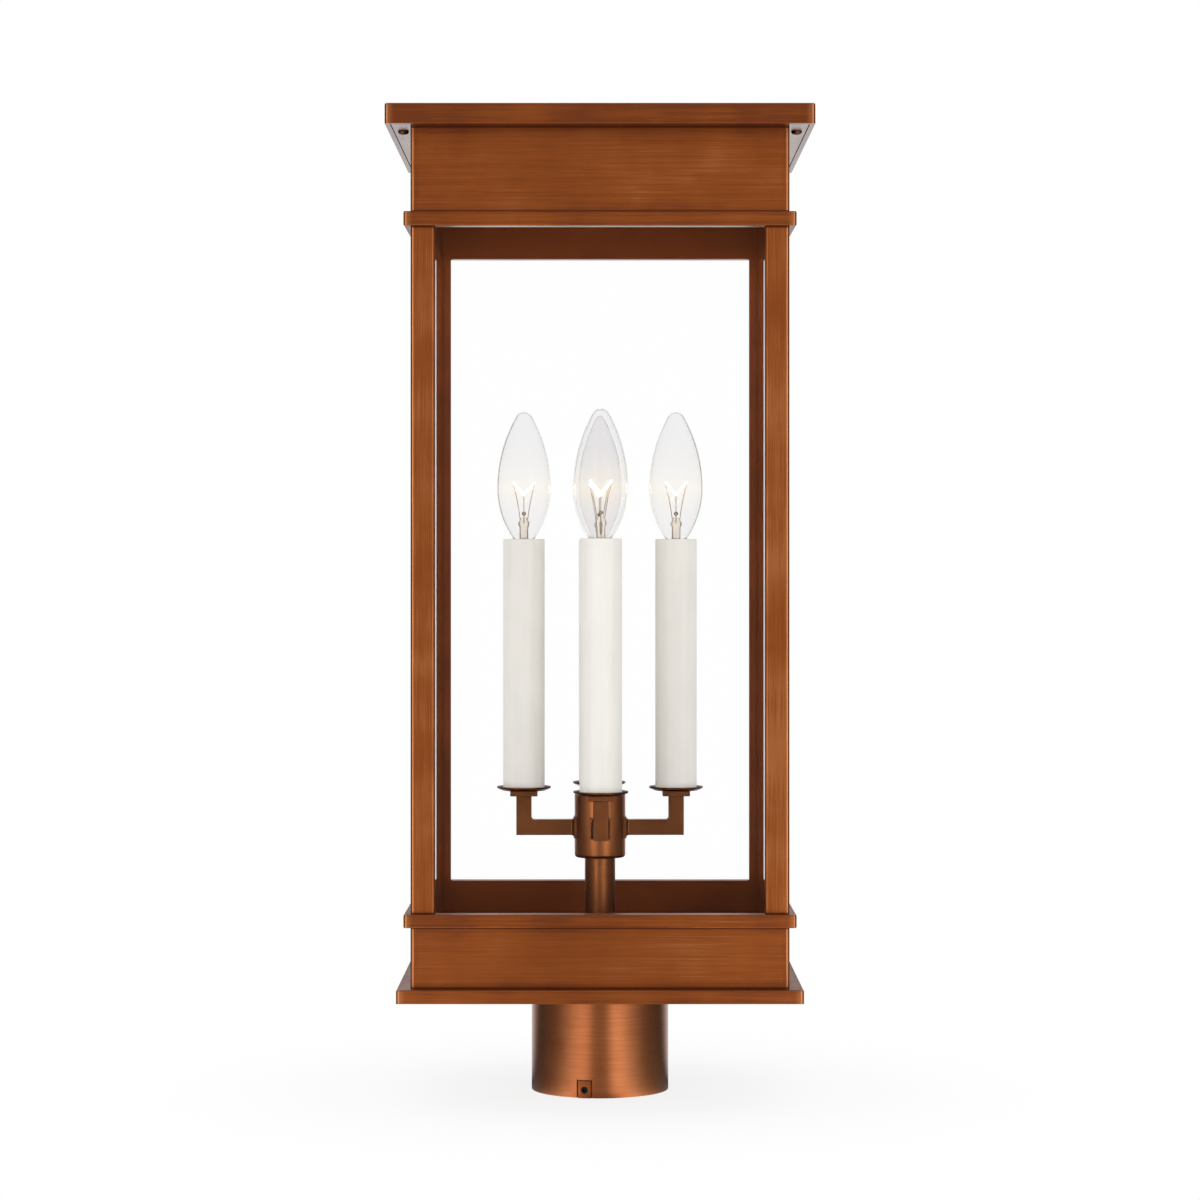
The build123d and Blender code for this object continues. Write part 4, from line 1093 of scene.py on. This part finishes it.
def recessed_screw(foot, seat, end, head, shank):
    """One pan-head screw on the axis, head down, with a cross recess in its head."""
    rise = seat - foot
    profile = [
        (0, foot), (0.55 * head, foot + 0.08 * rise), (0.85 * head, foot + 0.3 * rise),
        (head, foot + 0.72 * rise), (head, seat), (shank, seat), (shank, end - 0.6 * MM),
        (0.6 * shank, end), (0, end),
    ]
    pattern = "roof_screw_pattern"
    screw = new_object(pattern, turned_mesh(pattern, profile, Vector((0, 0, 0)), 32))
    cross = bmesh.new()
    slot_depth, slot_length, slot_width, taper = 0.55 * rise, 1.15 * head, 0.22 * head, 0.6
    for along, across in ((slot_length, slot_width), (slot_width, slot_length)):
        for vert in bmesh.ops.create_cube(cross, size=1.0)["verts"]:
            narrow = 1.0 if vert.co.z < 0 else taper
            vert.co = Vector((
                vert.co.x * along * narrow, vert.co.y * across * narrow, foot + 2 * vert.co.z * slot_depth))
    cutter_mesh = bpy.data.meshes.new("roof_screw_cross")
    cross.to_mesh(cutter_mesh)
    cross.free()
    cutter = new_object("roof_screw_cross", cutter_mesh)
    cut = screw.modifiers.new("Cross recess", "BOOLEAN")
    cut.operation = "DIFFERENCE"
    cut.object = cutter
    cut.use_self = True
    depsgraph = bpy.context.evaluated_depsgraph_get()
    recessed = bpy.data.meshes.new_from_object(screw.evaluated_get(depsgraph))
    screw.modifiers.remove(cut)
    screw.data = recessed
    bpy.data.objects.remove(cutter)
    return screw


class LANTERN_OT_studio(bpy.types.Operator):
    """Set up the floor, the white backdrop, the softboxes and the camera"""

    bl_idname = "lantern.studio"
    bl_label = "Studio"

    def execute(self, context):
        scene, studio = context.scene, context.scene.lantern_studio
        scene.view_settings.view_transform = "Standard"
        build_floor(studio)
        build_world(scene, studio)
        build_softboxes(studio)
        build_camera(scene, studio)
        return {"FINISHED"}


def surround_level(tree, direction, strength):
    """What polished metal sees around it: two soft lobes in front, dark sides and white behind."""
    x, y, _ = split_step(tree, direction)
    flat = level_length(tree, x, y)
    aside = math_step(tree, "DIVIDE", math_step(tree, "ABSOLUTE", x), flat)
    behind = math_step(tree, "DIVIDE", y, flat)
    rising = range_step(tree, aside, *LOBE_RISE, 0.0, strength)
    lobes = times(tree, rising, range_step(tree, aside, *LOBE_FALL, 1.0, 0.0))
    lobes = times(tree, lobes, range_step(tree, behind, *LOBE_REAR, 1.0, 0.0))
    front = range_step(tree, behind, *FRONT_RANGE, FRONT_LEVEL, SIDE_LEVEL)
    rear = range_step(tree, behind, *REAR_RANGE, 0.0, REAR_LEVEL)
    return plus(tree, lobes, plus(tree, front, rear))


def ray_kinds(tree):
    """Masks of the rays that see the stage straight or through glass, and of those mirrored by a piece."""
    path = tree.nodes.new("ShaderNodeLightPath").outputs
    straight = larger(tree, path["Is Camera Ray"], path["Is Transmission Ray"])
    bounces = math_step(tree, "GREATER_THAN", path["Glossy Depth"], 0.5)
    mirrored = times(tree, path["Is Glossy Ray"], bounces)
    return times(tree, straight, minus(tree, 1.0, mirrored)), mirrored


def build_floor(studio):
    """Pale floor: white to the camera, with the lantern's soft shadow near its foot."""
    half = studio.floor_size / 2
    mesh = bpy.data.meshes.new("floor")
    corners = [(-half, -half, 0), (half, -half, 0), (half, half, 0), (-half, half, 0)]
    mesh.from_pydata(corners, [], [(0, 1, 2, 3)])
    material = bpy.data.materials.new("white_floor")
    material.use_nodes = True
    tree = material.node_tree
    tree.nodes.clear()
    seen, bounced = ray_kinds(tree)
    x, y, _ = split_step(tree, object_place(tree))
    fade = range_step(tree, level_length(tree, x, y), *SHADOW_RANGE, SHADOW_WHITE, 1.0)
    share = larger(tree, times(tree, fade, seen), bounced)
    surround = surround_level(tree, object_place(tree), studio.lobe_strength)
    matt = add_node(tree, "ShaderNodeBsdfDiffuse", Color=FLOOR_COLOUR)
    white = add_node(tree, "ShaderNodeEmission", Strength=mix_step(tree, "Float", seen, surround, 1.0))
    surface = mixed_shader(tree, share, matt.outputs["BSDF"], white.outputs["Emission"])
    add_node(tree, "ShaderNodeOutputMaterial", Surface=surface)
    new_object("floor", mesh, material)


def build_world(scene, studio):
    """White backdrop and even light; mirrored rays see the shaped surround instead."""
    world = bpy.data.worlds.new("white_studio")
    world.use_nodes = True
    tree = world.node_tree
    tree.nodes.clear()
    seen, bounced = ray_kinds(tree)
    direction = tree.nodes.new("ShaderNodeTexCoord").outputs["Generated"]
    z = split_step(tree, direction)[2]
    around = surround_level(tree, direction, studio.lobe_strength)
    around = times(tree, around, range_step(tree, z, *SKY_DIP, 1.0, SKY_SHARE))
    surround = mix_step(tree, "Float", range_step(tree, z, *TOP_RANGE), around, TOP_LEVEL)
    level = mix_step(tree, "Float", bounced, studio.ambient, surround)
    light = add_node(
        tree, "ShaderNodeBackground", Color=(1.0, 1.0, 1.0, 1.0),
        Strength=mix_step(tree, "Float", seen, level, 1.0))
    add_node(tree, "ShaderNodeOutputWorld", Surface=light.outputs["Background"])
    scene.world = world


def build_softboxes(studio):
    """Two tall softboxes, left and right of the camera."""
    middle = (cad_low + cad_high) / 2
    for name, turn in (("left", -studio.left_turn), ("right", studio.right_turn)):
        light = bpy.data.lights.new(f"softbox_{name}", "AREA")
        light.shape = "RECTANGLE"
        light.size, light.size_y = studio.box_width, studio.box_height
        light.energy = studio.box_power
        lamp = bpy.data.objects.new(f"softbox_{name}", light)
        bpy.context.scene.collection.objects.link(lamp)
        lamp.location = middle + Vector((math.sin(turn), -math.cos(turn), SOFTBOX_RISE)) * studio.box_distance
        lamp.rotation_mode = "QUATERNION"
        lamp.rotation_quaternion = (middle - lamp.location).to_track_quat("-Z", "Y")


def build_camera(scene, studio):
    """Level camera in front of the lantern."""
    data = bpy.data.cameras.new("camera")
    data.sensor_width = SENSOR_WIDTH
    data.lens = SENSOR_WIDTH * studio.focal_pixels / IMAGE_PIXELS
    data.shift_y = -studio.horizon_rise / IMAGE_PIXELS
    camera = bpy.data.objects.new("camera", data)
    camera.location = (0, -studio.camera_distance, studio.camera_height)
    camera.rotation_euler = (math.pi / 2, 0, 0)
    scene.collection.objects.link(camera)
    scene.camera = camera


OPERATORS = (
    LANTERN_OT_body, LANTERN_OT_fitter, LANTERN_OT_cluster, LANTERN_OT_panes,
    LANTERN_OT_candles, LANTERN_OT_lamps, LANTERN_OT_roof_screws, LANTERN_OT_studio,
)


class LANTERN_PT_sidebar(bpy.types.Panel):
    """The lantern's steps and settings"""

    bl_idname = "LANTERN_PT_sidebar"
    bl_label = "Copper Post Lantern"
    bl_space_type = "VIEW_3D"
    bl_region_type = "UI"
    bl_category = "Lantern"

    def draw(self, context):
        for operator in OPERATORS:
            self.layout.operator(operator.bl_idname)
        for name, group in SETTINGS.items():
            box = self.layout.box()
            for key in group.__annotations__:
                box.prop(getattr(context.scene, name), key)


SETTINGS = {"lantern_finish": LanternFinish, "lantern_lamps": LanternLamps, "lantern_studio": LanternStudio}
CLASSES = (*SETTINGS.values(), *OPERATORS, LANTERN_PT_sidebar)


def register():
    for cls in CLASSES:
        bpy.utils.register_class(cls)
    for name, group in SETTINGS.items():
        setattr(bpy.types.Scene, name, bpy.props.PointerProperty(type=group))


def unregister():
    for name in SETTINGS:
        delattr(bpy.types.Scene, name)
    for cls in reversed(CLASSES):
        bpy.utils.unregister_class(cls)


def main():
    """Builds the lantern's looks in order."""
    register()
    bpy.ops.lantern.body()
    bpy.ops.lantern.fitter()
    bpy.ops.lantern.cluster()
    bpy.ops.lantern.panes()
    bpy.ops.lantern.candles()
    bpy.ops.lantern.lamps()
    bpy.ops.lantern.roof_screws()
    bpy.ops.lantern.studio()


if __name__ == "__main__":
    main()
